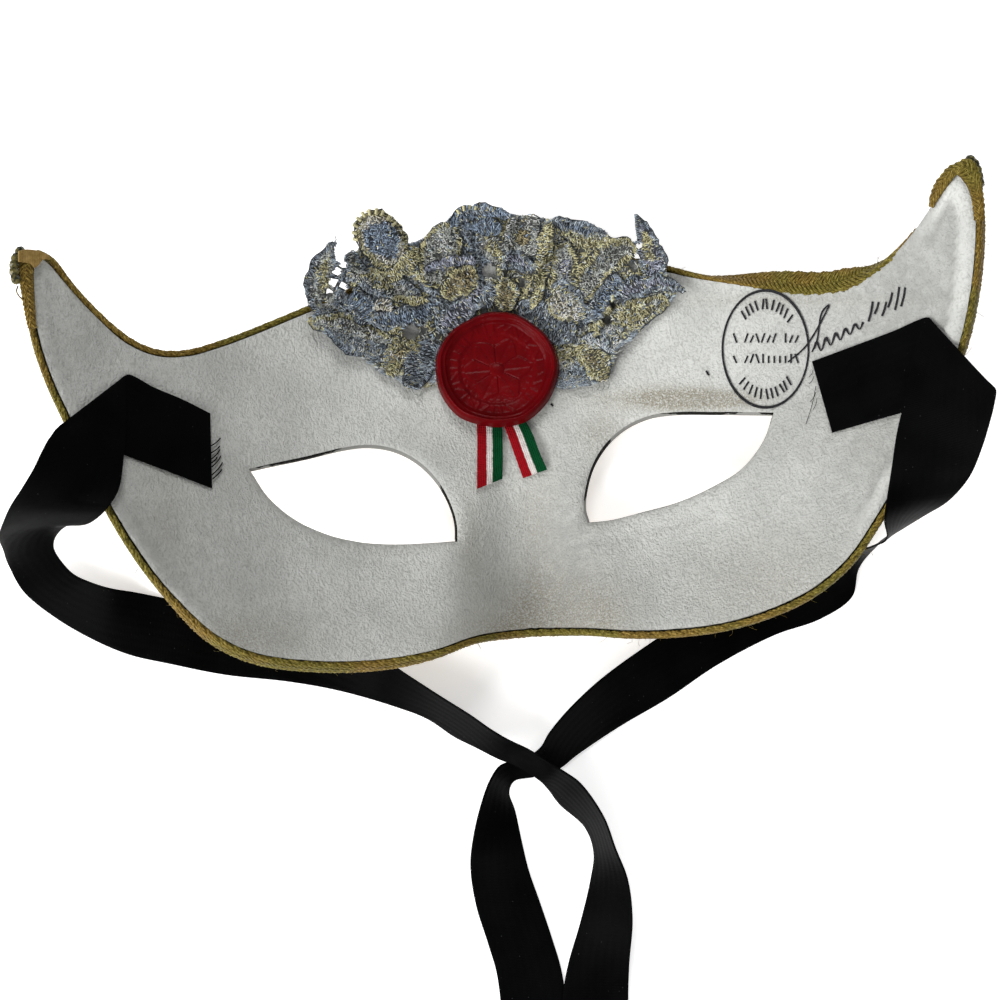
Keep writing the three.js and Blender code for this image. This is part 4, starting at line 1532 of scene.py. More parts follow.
RIGHT_EYE = {
    "upper": [(62.2, 4.2), (56.8, 5.4), (48.8, 7.1), (40.6, 8.5), (34, 8.6), (27.7, 6.6), (22.9, 3.1),
              (19.1, -1.7), (16.7, -7.1), (15.3, -13.1), (15.8, -16.8)],
    "lower": [(15.8, -16.8), (21.1, -16.9), (29.3, -15.9), (37.7, -14.6), (45.4, -12.2), (52.9, -8.7),
              (58.8, -2.6), (62.2, 4.2)],
}
LEFT_EYE = {
    "upper": [(-63.2, 3), (-57.9, 4.2), (-49.9, 5.9), (-41.9, 7.7), (-36, 8.2), (-30, 7), (-24.5, 3.8),
              (-20, -1.3), (-17, -7.5), (-15.6, -13.5), (-15.7, -18.2)],
    "lower": [(-15.7, -18.2), (-22, -18.1), (-30.1, -17.9), (-38.4, -16.8), (-46.3, -14.3), (-53.4, -10.2),
              (-59.2, -4.2), (-63.2, 3)],
}


def outline(step: float) -> Array:
    """The shell's outline, counterclockwise from the right tip over the top.

    Args:
        step: Distance between the points.

    Returns:
        The closed outline.
    """
    def mirrored(pairs: Pairs) -> list:
        """The pairs on the other side."""
        return [(-x, y) for x, y in pairs]

    right, left = RIGHT_HALF["tip"], mirrored([LEFT_HALF["tip"]])[0]
    upper = [right, *RIGHT_HALF["above"][::-1], (0, 54), *mirrored(LEFT_HALF["above"]), left]
    lower = [left, *mirrored(LEFT_HALF["below"]), (0, -40.6), *RIGHT_HALF["below"][::-1], right]
    return np.vstack([spaced(upper, step), spaced(lower, step)])


def eye_loop(eye: Mapping[str, Pairs], step: float) -> Array:
    """One eye opening, clockwise.

    Args:
        eye: Its upper and its lower edge.
        step: Distance between the points.

    Returns:
        The closed loop.
    """
    loop = np.vstack([spaced(eye["upper"], step), spaced(eye["lower"], step)])
    area = np.sum(loop[:, 0] * np.roll(loop[:, 1], -1) - np.roll(loop[:, 0], -1) * loop[:, 1])
    return loop[::-1] if area > 0 else loop


def rim_direction(normal: Array) -> Array:
    """Direction in which the cut edge leaves the hollow face, halfway between square to it and upright."""
    return unit(np.array([0.0, 0.0, -0.5]) - 0.5 * normal)


@dataclass(frozen=True)
class Spot:
    """A soft oval patch at a pixel of the photograph."""

    x: float
    y: float
    rx: float
    ry: float
    amount: float

    def weigh(self, pixels: Array) -> Array:
        """How strongly the patch shows at each pixel.

        Args:
            pixels: Pixels of the photograph.

        Returns:
            Weight of the spot at each pixel.
        """
        u = (pixels[:, 0] - self.x) / self.rx
        v = (pixels[:, 1] - self.y) / self.ry
        return self.amount * np.exp(-(u * u + v * v))


@dataclass(frozen=True)
class Shell:
    """The moulded shell: white hollow face, black cut edges, gilded front."""

    step: float = 1.15
    edge_step: float = 1.0
    rim_rings: int = 4
    rim_swell: float = 0.12
    eye_swell: float = 0.4
    stains: tuple[Spot, ...] = (
        Spot(712, 400, 46, 9, 1.3), Spot(672, 399, 40, 13, 0.6), Spot(602, 432, 24, 22, 0.5),
        Spot(538, 520, 24, 60, 0.45), Spot(505, 640, 60, 26, 0.6), Spot(780, 590, 90, 60, 0.4),
        Spot(240, 640, 70, 30, 0.6), Spot(590, 500, 14, 40, 0.3), Spot(165, 520, 24, 70, 0.3),
        Spot(470, 545, 14, 50, 0.35), Spot(870, 420, 30, 60, 0.25), Spot(566, 620, 50, 46, 1.7),
        Spot(640, 398, 60, 10, 0.5), Spot(812, 300, 120, 8, 0.4),
    )
    # Spots where the lining's white is darkened towards grey as painted shade.
    painted_shade: tuple[Spot, ...] = (
        Spot(890, 430, 120, 180, 0.85), Spot(920, 260, 80, 90, 0.5), Spot(570, 540, 44, 100, 0.85),
        Spot(150, 550, 120, 90, 0.72), Spot(70, 330, 90, 80, 0.58), Spot(660, 580, 120, 50, 0.35),
        Spot(240, 370, 60, 60, 0.3), Spot(280, 620, 80, 50, 0.3),
    )
    glue: Spot = Spot(480, 345, 150, 90, 1.0)
    black: tuple[Spot, ...] = (
        Spot(292, 455, 62, 16, 1.0), Spot(452, 512, 18, 34, 1.5), Spot(700, 409, 44, 10, 1.2),
        Spot(588, 486, 12, 20, 0.9), Spot(600, 456, 14, 22, 1.2), Spot(780, 410, 16, 10, 1.3),
        Spot(902, 232, 34, 36, 1.2), Spot(655, 511, 22, 10, 0.9), Spot(330, 512, 12, 8, 0.8),
        Spot(400, 541, 14, 8, 0.8),
    )

    def relief(self, plane: Array, outer: Array, eyes: Array) -> Array:
        """Unevenness of the hollow face, up to a few tenths of a millimetre.

        Args:
            plane: Points of the face plane.
            outer: Their distance from the outline.
            eyes: Their distance from the openings.

        Returns:
            Height of the relief.
        """
        made = 0.16 * rough(plane, 11.0, 1) + 0.07 * rough(plane, 3.4, 2)
        creased = rough(plane * np.array([1.0, 0.45]), 2.4, 3)
        made += 0.09 * (1 - np.abs(creased)) * smooth((np.abs(plane[:, 0]) - 25) / 40)
        made -= 0.55 * np.exp(-eyes / 1.1)
        below = smooth((2 - plane[:, 1]) / 8)
        made -= 0.32 * np.exp(-(((eyes - 4.6) / 0.9) ** 2)) * below * np.where(plane[:, 0] > 0, 1.0, 0.4)
        lip, groove = self.lip(plane, outer)
        return made * (1 - 0.6 * lip) + 0.55 * lip - 0.30 * groove - 0.15 * np.exp(-outer / 0.7)

    @staticmethod
    def lip(plane: Array, outer: Array) -> tuple[Array, Array]:
        """The swollen lip along the outer side edges, and the groove on its inner side.

        Args:
            plane: Points of the face plane.
            outer: Their distance from the outline.

        Returns:
            How much each point belongs to the lip, and to the groove.
        """
        x = np.abs(plane[:, 0])
        sides = smooth((x - 62) / 14) * smooth((x - 96 + 0.35 * (48 - plane[:, 1])) / 5.0)
        width = np.where(plane[:, 0] > 0, 3.4, 2.2)
        swell = smooth((width - outer) / 1.2) * smooth(outer / 0.7)
        return swell * sides, np.exp(-(((outer - width - 0.2) / 0.6) ** 2)) * sides

    def inked(self, points: Array) -> Array:
        """How far the black paint of the cut edge reaches up to the hollow face."""
        return np.clip(sum(spot.weigh(STUDIO.project(points)) for spot in self.black) * 0.8, 0, 1)

    @staticmethod
    def solid(points: Array, loops: Sequence[Array]) -> Array:
        """Tells which points lie inside the outline and outside the openings.

        Args:
            points: Points of the plan.
            loops: Outline and openings.

        Returns:
            True inside the shell.
        """
        contour, *holes = loops
        found = inside(points, contour)
        for hole in holes:
            found &= ~inside(points, hole)
        return found

    def plan(self, loops: Sequence[Array]) -> tuple[Array, Array]:
        """Fills the outline, but not its openings, with triangles.

        Args:
            loops: The outline and the two openings.

        Returns:
            The points, those of the loops first, and three point numbers for each triangle.
        """
        across = np.arange(-112, 112, self.step)
        rows = np.arange(-60, 60, self.step * math.sqrt(3) / 2)
        grid = np.vstack(
            [np.stack([across + (i % 2) * self.step / 2, np.full(len(across), y)], 1) for i,
            y in enumerate(rows)])
        grid = grid[self.solid(grid, loops)]
        near = np.min([edge_distance(grid, loop) for loop in loops], axis=0)
        plane = np.vstack([*loops, grid[near > 0.55 * self.step]])
        edges, first = [], 0
        for loop in loops:
            count = len(loop)
            edges += [(first + i, first + (i + 1) % count) for i in range(count)]
            first += count
        found = delaunay_2d_cdt([Vector(p) for p in plane], edges, [], 0, 1e-6)
        if len(found[0]) != len(plane):
            raise ValueError("the shell's points were merged")
        faces = np.array([tuple(f) for f in found[2]])
        faces = faces[self.solid(plane[faces].mean(axis=1), loops)]
        a, b, c = (plane[faces[:, k]] for k in range(3))
        flip = ((b - a)[:, 0] * (c - a)[:, 1] - (b - a)[:, 1] * (c - a)[:, 0]) < 0
        faces[flip] = faces[flip][:, ::-1]
        return plane, faces

    def looks(
            self, plane: Array, outer: Array, every: Array, depth: Array,
            hidden: Array) -> dict[str, Array]:
        """Attributes of all points: stains, painted shade, ink, glue and the blue ground of the front.

        Args:
            plane: The points of one face, which come first in `every`.
            outer: Their distance from the outline.
            every: All points of the shell.
            depth: How deep each lies in the wall, from 0 at the hollow face to 1 at the front.
            hidden: Which of them lie on the outer rim, under the braid.

        Returns:
            Values by the name of the field.
        """
        pixels = STUDIO.project(every)
        # Along the outline, where the braid covers it, the cut edge is inked dark almost up to the hollow
        # face, so the gap below the braid shows a dark line: partly black edge paint, partly painted shade
        # in that gap.
        ink = np.where(hidden, 0.4 + depth, 0.25 - 0.55 * depth) + self.inked(every)
        # Painted shade from the spots, deepened in the groove inside the horn lip and lessened on the lip,
        # which reads lighter as a painted highlight.
        painted_shading = sum(spot.weigh(pixels) for spot in self.painted_shade)
        swell, groove = self.lip(plane, outer)
        horn = smooth((plane[:, 0] - 100 + 0.35 * (48 - plane[:, 1])) / 3)
        painted_shading[:len(plane)] += (1.3 * groove - 0.5 * swell) * horn
        glue = self.glue.weigh(pixels)
        glue[:len(plane)] = np.maximum(glue[:len(plane)], swell)
        return {"stain": np.clip(sum(spot.weigh(pixels) for spot in self.stains), 0, 1),
                "painted_shading": np.clip(painted_shading, 0, 1), "ink": ink, "glue": glue,
                "ground": smooth((every[:, 1] - 8) / 14) * smooth((70 - np.abs(every[:, 0])) / 20)}

    def build(self) -> None:
        """Makes the shell as one closed mesh."""
        contour = outline(self.edge_step)
        loops = [contour, eye_loop(RIGHT_EYE, self.edge_step), eye_loop(LEFT_EYE, self.edge_step)]
        plane, faces = self.plan(loops)
        outer = edge_distance(plane, contour)
        eyes = np.min([edge_distance(plane, hole) for hole in loops[1:]], axis=0)
        normal = FACE.normal(plane[:, 0], plane[:, 1])
        base = FACE.lay(plane)
        inner = base + normal * self.relief(plane, outer, eyes)[:, None]
        cut = -normal.copy()
        cut[:len(contour)] = rim_direction(normal[:len(contour)])
        front = base - cut * (FACE.wall / (cut * normal).sum(1))[:, None]
        front[:, 2] = np.maximum(front[:, 2], 0.0)
        count = len(plane)
        points = [inner, front]
        depths = [np.zeros(count), np.ones(count)]
        hidden = [outer < 0.01, outer < 0.01]
        made = [tuple(f) for f in faces] + [tuple(count + f[::-1]) for f in faces]
        kinds = [0] * len(faces) + [1] * len(faces)
        start, total = 0, 2 * count
        for loop in loops:
            size = len(loop)
            ids = np.arange(start, start + size)
            tangent = unit(np.roll(inner[ids], -1, 0) - np.roll(inner[ids], 1, 0))
            outwards = unit(np.cross(tangent, normal[ids]))
            rings = [ids]
            for ring in range(1, self.rim_rings):
                share = ring / self.rim_rings
                swell = (self.rim_swell if start == 0 else self.eye_swell) * math.sin(math.pi * share)
                points.append(inner[ids] * (1 - share) + front[ids] * share + outwards * swell)
                depths.append(np.full(size, share))
                hidden.append(np.full(size, start == 0))
                rings.append(np.arange(total, total + size))
                total += size
            rings.append(ids + count)
            for upper, lower in zip(rings, rings[1:]):
                for i in range(size):
                    k = (i + 1) % size
                    made.append((upper[i], lower[i], lower[k], upper[k]))
                    kinds.append(2)
            start += size
        every = np.vstack(points)
        fields = self.looks(plane, outer, every, np.concatenate(depths), np.concatenate(hidden))
        finishes = [WhiteLining().material(), OldGold().material(), EdgePaint().material()]
        shell = make_object("shell", every, made, finishes, kinds, fields=fields, closed=True, crease=60)
        settle(shell, "shell_white", "mask_shell")
        LOG.info("shell: %d faces", len(made))


@dataclass(frozen=True)
class Stretch:
    """A part of the rim that is reached and left gradually along X."""

    start: float
    full: float
    fade: float
    end: float
    amount: float = 1.0

    def at(self, x: Array) -> Array:
        """Strength at each place."""
        rise = smooth((x - self.start) / (self.full - self.start))
        return self.amount * rise * smooth((self.end - x) / (self.end - self.fade))


@dataclass(frozen=True)
class Track:
    """A strip that yarns follow.

    At each station along it there are the distance reached, points across the strip, and the
    direction square to the strip at each of them. A closed one starts again after `total`.
    """

    reached: Array
    lines: Array
    square: Array
    total: float = math.inf

    def trace(self, s: Array, u: Array, rise: Array) -> Array:
        """Places at s along the strip and u across it from 0 to 1, risen above its middle.

        Args:
            s: Distances along it.
            u: Shares across it.
            rise: Height over it.

        Returns:
            Points in space.
        """
        place = np.interp(np.fmod(s, self.total), self.reached, np.arange(len(self.reached)))
        i = np.minimum(place.astype(int), len(self.reached) - 2)
        f = (place - i)[:, None]
        cells = self.lines.shape[1] - 1
        column = np.clip(u, 0, 1) * cells
        k = np.minimum(column.astype(int), cells - 1)
        g = (column - k)[:, None]

        def blend(grid: Array) -> Array:
            """Interpolates a grid at those places."""
            near = grid[i, k] * (1 - g) + grid[i, k + 1] * g
            far = grid[i + 1, k] * (1 - g) + grid[i + 1, k + 1] * g
            return near * (1 - f) + far * f

        return blend(self.lines) + unit(blend(self.square)) * rise[:, None]


@dataclass(frozen=True)
class Braid:
    """The gimp braid folded over the rim: plaited pairs of yarn over a thin core."""

    thickness: float = 1.4
    width: float = 5.9
    gap: float = 0.35
    proud: float = 0.2
    station: float = 1.0
    strands: int = 10
    period: float = 11.6
    yarn_radius: float = 0.43
    layer: float = 0.33
    splay: float = 0.24
    sprung: float = 0.19
    dip: Stretch = Stretch(42, 72, 80, 92.5, 0.8)
    tuck: Stretch = Stretch(90, 97.5, 97.6, 101.5)
    cover: Stretch = Stretch(42, 58, 91, 98, 1.35)
    points_across: int = 11
    corner_radius: float = 1.1
    turning: float = math.pi / 2 * 0.86
    crossing: float = 3.2
    core_rise: float = 0.12
    stray_fibres: int = 90
    hood_yarn: float = 0.36
    hood_period: float = 8.0
    hood: tuple = (
        ((932, 207), (930.5, 206)), ((939, 198), (931, 194)), ((944.5, 190.5), (935, 183)),
        ((950, 183), (941.5, 173.5)), ((953.5, 178), (948, 166.5)), ((956.5, 175.5), (957, 162.5)),
        ((960, 177), (969, 157)), ((964, 182), (977, 162)), ((968, 188), (981, 174)),
        ((971, 197), (983, 190)), ((973, 207), (984.5, 206)), ((974, 220), (985, 220)),
    )
    flat: tuple = (
        ((36.5, 328), (28, 328)), ((35.5, 314), (25, 315)), ((34.6, 300), (22, 300)),
        ((34, 287), (19.5, 287)), ((33.6, 275), (17.5, 272)), ((34.5, 264), (18, 260)),
        ((34, 256), (20, 252)),
    )
    fold: tuple = (
        ((18.5, 251), (18.5, 262)), ((24, 249.5), (24.5, 262.5)), ((30, 249.5), (30.5, 264)),
        ((34, 250), (34, 268)), ((38, 250.7), (38, 265.5)), ((42, 252), (41.5, 261)),
        ((46, 254), (45.5, 259)), ((49.5, 256.5), (49, 260)),
    )

    def section(self, lean: float, opened: float, tuck: float, sag: float) -> Array:
        """Middle line of the strip's section: x outwards in the face, y away from the wearer.

        Args:
            lean: Angle of the cut edge against the face's normal.
            opened: How far the strip lies open, from 0 folded to 1 flat.
            tuck: How much the leg along the cut edge is shortened, from 0 to 1.
            sag: How far the face curves away under the lip, in millimetres.

        Returns:
            Three points: its end at the hollow face, its bend at the front and the end of its lip.
        """
        half = self.thickness / 2

        def along(angle: float) -> Array:
            """Direction at an angle from the way to the front."""
            return np.array([math.sin(angle), math.cos(angle)])

        def beside(angle: float) -> Array:
            """Direction square to that, outwards."""
            return np.array([math.cos(angle), -math.sin(angle)])

        top = beside(lean) * (self.gap + half) - along(lean) * self.proud
        cover = (FACE.wall + self.gap + half - top[1]) / math.cos(lean)
        leg = cover * max(0.08, 1 - 1.25 * tuck)
        leg_angle = lean + (math.radians(88) - lean) * opened
        lip = self.width - leg
        lip_angle = math.radians(-90 + 178 * opened) + max(0.0, sag / lip) * (1 - opened)
        start = top + along(lean) * (cover - leg) - beside(lean) * half + beside(leg_angle) * half
        start[0] -= (self.gap + half + 0.6) * float(smooth(np.array((tuck - 0.8) / 0.2)))
        start[1] += 2 * half * opened + 0.5 * tuck
        knee = start + along(leg_angle) * leg
        return np.array([start, knee, knee + along(lip_angle) * lip])

    def round_rim(self) -> Track:
        """The strip's middle, all the way round the rim.

        Returns:
            The strip round the rim.
        """
        loop = outline(self.station)
        count = len(loop)
        base = FACE.lay(loop)
        reach = 3
        tangent = np.roll(base, -reach, 0) - np.roll(base, reach, 0)
        normal = FACE.normal(loop[:, 0], loop[:, 1])
        outwards = unit(np.cross(tangent, normal))
        rim = rim_direction(normal)
        lean = np.arctan2((rim * outwards).sum(1), -(rim * normal).sum(1))
        x, y = loop[:, 0], loop[:, 1]
        upper = (x > 0) & (y > 24) & (x < 101.5)
        opened = np.where(upper, self.dip.at(x), 0.0)
        tuck = np.where(upper, self.tuck.at(x), 0.0)
        cover = np.where(upper, self.cover.at(x), 0.0)
        for tip in (RIGHT_HALF["tip"], (-LEFT_HALF["tip"][0], LEFT_HALF["tip"][1])):
            away = np.hypot(x - tip[0], y - tip[1])
            opened = np.maximum(opened, 0.25 * smooth((7.5 - away) / 6.0))
        flank = smooth((outwards[:, 0] - 0.45) / 0.3) * smooth((y + 24) / 20) * smooth((50 - y) / 8)
        opened = np.maximum(opened, self.splay * np.where(upper, 0.0, flank))
        cheek = smooth((-16 - x) / 16) * smooth((x + 84) / 12) * (y < -20)
        opened = np.maximum(opened, self.sprung * cheek)
        drawn = 1.1 * np.maximum(flank, np.clip((opened - self.splay * flank) * (x > 97), 0, 0.25) * 4)
        under = base - outwards * self.width / 2
        sag = ((under - FACE.lay(under)) * normal).sum(1)
        shares = np.linspace(0, 1, self.points_across)
        lines = np.zeros((count + 1, self.points_across, 3))
        square = np.zeros_like(lines)
        for i in range(count):
            corner = self.section(lean[i], opened[i], tuck[i], sag[i])
            rounded = smooth_round(corner, self.corner_radius)
            line = pick_along(rounded, shares * lengths_along(rounded)[-1])
            line[:, 0] -= drawn[i] + 0.7 * cheek[i] + cover[i] * (1 - shares)
            way = unit(np.gradient(line, axis=0))
            side = np.stack([way[:, 1], -way[:, 0]], 1)
            lines[i] = base[i] + outwards[i] * line[:, :1] - normal[i] * line[:, 1:]
            square[i] = outwards[i] * side[:, :1] - normal[i] * side[:, 1:]
        lines[-1], square[-1] = lines[0], square[0]
        reached = lengths_along(np.vstack([base, base[:1]]))
        return Track(reached, lines, square, reached[-1])

    def build(self) -> None:
        """Makes the plaited yarns, the core between them and the stray fibres."""
        track = self.round_rim()
        period = track.total / max(1, round(track.total / self.period))
        s = np.linspace(0, track.total, int(track.total / 0.85), endpoint=False)
        made = self.plait(track, s, period)
        braid = yarn_lines("braid", made, self.yarn_radius, GoldYarn().material(), 8, loops=True)
        settle(braid, "braid_gold", "edge_braid")
        self.core(track)
        self.fibres()
        self.hoods()

    def plait(self, track: Track, s: Array, period: float) -> list[Array]:
        """Lines of the yarns, each swinging from edge to edge over one half and under the other.

        Args:
            track: The strip.
            s: Distances along it.
            period: Length of one repeat.

        Returns:
            One line for each yarn.
        """
        margin = self.yarn_radius / self.width
        made = []
        for strand in range(self.strands):
            phase = (s / period + strand / self.strands) % 1.0
            swing = np.where(phase < 0.5, 4 * phase - 1, 3 - 4 * phase)
            swing = np.sin(swing * self.turning) / math.sin(self.turning)
            going = np.where(phase < 0.5, 1.0, -1.0)
            level = going * -np.tanh(swing * self.crossing)
            made.append(track.trace(s, 0.5 + swing * (0.5 - margin), level * self.layer))
        return made

    def hoods(self) -> None:
        """The braid's turned ends over the tips: a plaited hood, a plaited flat and a bare woven fold."""
        # A darker copy of the bare weave, laid under the hood and the flat as painted shade below the yarns.
        shaded = GimpCloth("gimp_backing_shade", tan=(0.130, 0.090, 0.020), brown=(0.070, 0.046, 0.010))
        made = []
        for pairs in (self.hood, self.flat):
            inner, outer = (smooth_line([pair[k] for pair in pairs], 8) for k in (0, 1))
            shares = np.linspace(0, 1, self.points_across)
            grid = inner[:, None] + (outer - inner)[:, None] * shares[None, :, None]
            lift = 0.9 + 0.5 * np.sin(math.pi * shares) - 1.6 * shares**3
            lines = STUDIO.on_face(grid, np.broadcast_to(lift, grid.shape[:2]))
            along = unit(np.gradient(lines, axis=0))
            square = unit(np.cross(along, np.gradient(lines, axis=1)))
            square = square * np.where(square[..., 2:] < 0, -1.0, 1.0)
            reached = lengths_along(lines[:, self.points_across // 2])
            wide = np.linalg.norm(lines[:, -1] - lines[:, 0], axis=1).mean()
            s = np.linspace(0, reached[-1] * 0.999, int(reached[-1] / 0.5))
            turned = Braid(width=wide, yarn_radius=self.hood_yarn, strands=7, layer=0.14)
            made += turned.plait(Track(reached, lines, square), s, self.hood_period)
            under = [tuple(STUDIO.on_face([a, np.array(b) * 0.85 + np.array(a) * 0.15], [0.75, 0.2]))
                     for a, b in pairs]
            backing = Strip(under, 0.5, parts=4).build("braid_hood_backing", shaded.material())
            settle(backing, "braid_gold")
        yarns = yarn_lines("braid_hoods", made, self.hood_yarn, GoldYarn().material(), 8)
        settle(yarns, "braid_gold")
        pairs = [tuple(STUDIO.on_face(pair, 1.9)) for pair in self.fold]
        cloth = Strip(pairs, 0.5, parts=4).build("braid_fold", GimpCloth().material())
        settle(cloth, "braid_gold")

    def core(self, track: Track) -> None:
        """A thin band between the yarns, dark all over as painted shade: its fixed fields give it the yarn's
        groove colour.

        Args:
            track: The strip.
        """
        grid = track.lines[:-1, 1:-1]
        rise = track.square[:-1, 1:-1] * self.core_rise
        rows, columns = grid.shape[:2]
        points = both_sides(grid + rise, grid - rise)
        # These fixed fields put the whole core in the yarn's painted groove shade.
        fields = {"along": np.zeros(len(points)), "girth": np.tile([1.0, 0.0, 0.0], (len(points), 1))}
        core = make_object(
            "braid_shaded_core", points, sheet_faces(rows, columns, wrap=True), GoldYarn().material(),
            fields=fields, closed=True)
        settle(core, "braid_gold")

    def fibres(self) -> None:
        """Loose fibres that stand off the braid."""
        rng = np.random.default_rng(SEED)
        loop = outline(1.0)
        lines = []
        for _ in range(self.stray_fibres):
            i = int(rng.integers(len(loop)))
            base = FACE.lay(loop[i])
            step = FACE.lay(loop[(i + 1) % len(loop)]) - base
            normal = FACE.normal(loop[i:i + 1, 0], loop[i:i + 1, 1])[0]
            outwards = unit(np.cross(step, normal))
            start = base + outwards * 1.2 - normal * rng.uniform(0, 2)
            drift = outwards * rng.uniform(1.0, 2.2) + unit(step) * rng.normal(0, 1.2)
            drift = drift + normal * rng.uniform(-0.6, 0.9)
            curl = rng.normal(0, 0.5, 3)
            lines.append(smooth_line([start, start + drift * 0.5 + curl, start + drift], 4))
        fibres = yarn_lines("braid_fibres", lines, 0.045, GoldYarn().material(), 3)
        settle(fibres, "braid_gold")


def smooth_round(corner: Array, radius: float) -> Array:
    """A bent line of three points with its corner rounded.

    Args:
        corner: Its start, bend and end.
        radius: Radius of the rounding.

    Returns:
        The rounded line.
    """
    start, knee, end = corner
    first, second = np.linalg.norm(start - knee), np.linalg.norm(end - knee)
    reach = min(radius, first * 0.6, second * 0.6)
    a = knee + (start - knee) / max(first, 1e-6) * reach
    b = knee + (end - knee) / max(second, 1e-6) * reach
    t = np.linspace(0, 1, 7)[:, None]
    return np.vstack([start, (1 - t) ** 2 * a + 2 * t * (1 - t) * knee + t**2 * b, end])


class Tone(Enum):
    """Thread colours of the lace: red, green, blue and how metallic."""

    SLATE = (0.272, 0.315, 0.358, 0.15)
    BLUE = (0.245, 0.310, 0.401, 0.15)
    VIOLET = (0.340, 0.359, 0.439, 0.15)
    GREY = (0.462, 0.482, 0.451, 0.35)
    GOLD = (0.611, 0.567, 0.330, 0.70)
    BRONZE = (0.377, 0.322, 0.186, 0.60)
    IVORY = (0.769, 0.728, 0.595, 0.15)
    PALE = (0.555, 0.627, 0.693, 0.10)
    SHADOW = (0.045, 0.052, 0.058, 0.10)


class Work(Enum):
    """How a shape is filled."""

    SATIN = 1
    NET = 2


@dataclass(frozen=True)
class Hole:
    """An opening through the lace, at a pixel of the photograph."""

    x: float
    y: float
    radius: float


HOLES = (
    Hole(339, 257, 4), Hole(343, 265, 4), Hole(337, 272, 4.5), Hole(334, 282, 4.5), Hole(342, 285, 4),
    Hole(329, 292, 4), Hole(350, 291, 3.5), Hole(323, 302, 2.5), Hole(489, 271, 7), Hole(411, 332, 8),
    Hole(639, 246, 3.5), Hole(637, 257, 4), Hole(613, 305, 4), Hole(607, 320, 5), Hole(633, 268, 3),
    Hole(522, 283, 3.5))


def open_at(pixels: Array, grow: float = 0.0) -> Array:
    """Tells which pixels fall in an opening of the lace.

    Args:
        pixels: Pixels of the photograph.
        grow: How far the openings are widened.

    Returns:
        True where there is an opening.
    """
    missing = np.zeros(pixels.shape[:-1], bool)
    for hole in HOLES:
        missing |= np.hypot(pixels[..., 0] - hole.x, pixels[..., 1] - hole.y) < hole.radius + grow
    return missing


def toned(lines: Sequence[Array], tone: Tone, shine: float) -> dict[str, Array]:
    """Attributes of the points of lines that are all of one tone."""
    count = sum(len(line) for line in lines)
    return {"tint": np.tile([*tone.value[:3], 1.0], (count, 1)), "shine": np.full(count, shine)}


@dataclass
class Stitches:
    """Stitches collected from all parts of the lace, as points with attributes."""

    places: list = field(default_factory=list)
    turn: list = field(default_factory=list)
    size: list = field(default_factory=list)
    tint: list = field(default_factory=list)
    shine: list = field(default_factory=list)

    def put(self, places: Array, forward: Array, up: Array, length: Array, girth: float, tone: Tone,
            rng: np.random.Generator) -> None:
        """Adds stitches of one tone, with stray threads of others among them.

        Args:
            places: Where the stitches sit, in millimetres.
            forward: Direction of each stitch.
            up: Direction in which it bows.
            length: Length of each in millimetres.
            girth: Their thickness, 1 for a plain thread.
            tone: Their tone.
            rng: Source of the random draws.
        """
        count = len(places)
        if not count:
            return
        stray = rng.random(count)
        value = np.tile(tone.value, (count, 1))
        for low, other in ((0.95, Tone.GOLD), (0.90, Tone.GREY), (0.84, Tone.SHADOW), (0.80, Tone.BLUE)):
            value[(stray > low) & (stray < low + 0.05)] = other.value
        # Each stitch's brightness differs at random, and about one in twenty is made 1.8 times brighter as a
        # painted glint.
        tone_and_glint = np.exp(rng.normal(0, 0.45, count)) * np.where(rng.random(count) < 0.05, 1.8, 1.0)
        self.places.append(places)
        self.turn.append(turns(forward, up))
        self.size.append(np.stack([length, np.full(count, girth), np.full(count, girth)], 1) * MM)
        tint = value[:, :3] * tone_and_glint[:, None]
        self.tint.append(np.concatenate([np.clip(tint, 0, 0.9), np.ones((count, 1))], 1))
        self.shine.append(np.clip(value[:, 3] + rng.normal(0, 0.12, count), 0, 1))

    def build(self, name: str, loop: bool, side: int = 0) -> Object:
        """Sews them as one piece, all or only those on one side of the seal.

        Args:
            name: Its name.
            loop: True for closed loops.
            side: 1 or -1 for one side of the seal, 0 for both.

        Returns:
            The object.
        """
        places = np.vstack(self.places)
        keep = (places[:, 0] - SEAL_CENTRE[0]) * side >= 0 if side else np.ones(len(places), bool)
        fields = {"turn": np.vstack(self.turn)[keep], "size": np.vstack(self.size)[keep],
                  "tint": np.vstack(self.tint)[keep], "shine": np.concatenate(self.shine)[keep]}
        source = make_object(name + "_points", places[keep], [(0, 1)], fields=fields)
        LOG.info("%s: %d stitches", name, keep.sum())
        return GeometryTrees.grow(
            name, source, GeometryTrees.stitches(),
            {"Loop": loop, "Thickness": 0.11, "Bow": 0.5, "Material": LaceThread().material()})


SEAL_PIXEL = np.array([495.0, 369.0])
PIXEL = 0.246


def gather(pixels: Array) -> Array:
    """Height of the gathered ground over the face, from the folds that run out of the seal.

    Args:
        pixels: Pixels of the photograph.

    Returns:
        Height of the gathers.
    """
    away = pixels - SEAL_PIXEL
    r = np.hypot(away[..., 0], away[..., 1]) * PIXEL
    angle = np.degrees(np.arctan2(-away[..., 1], away[..., 0])) - 5.6
    free = smooth((r - 15.5) / 8.0)
    wave = 0.5 + 0.5 * np.sin(np.radians(angle * 18 + 40))
    wave = wave + 0.25 * np.sin(np.radians(angle * 41 + 15 + r * 3.0))
    return 0.75 + 0.5 * free + np.maximum(0.0, 3.0 * wave) * free * r / 50.0


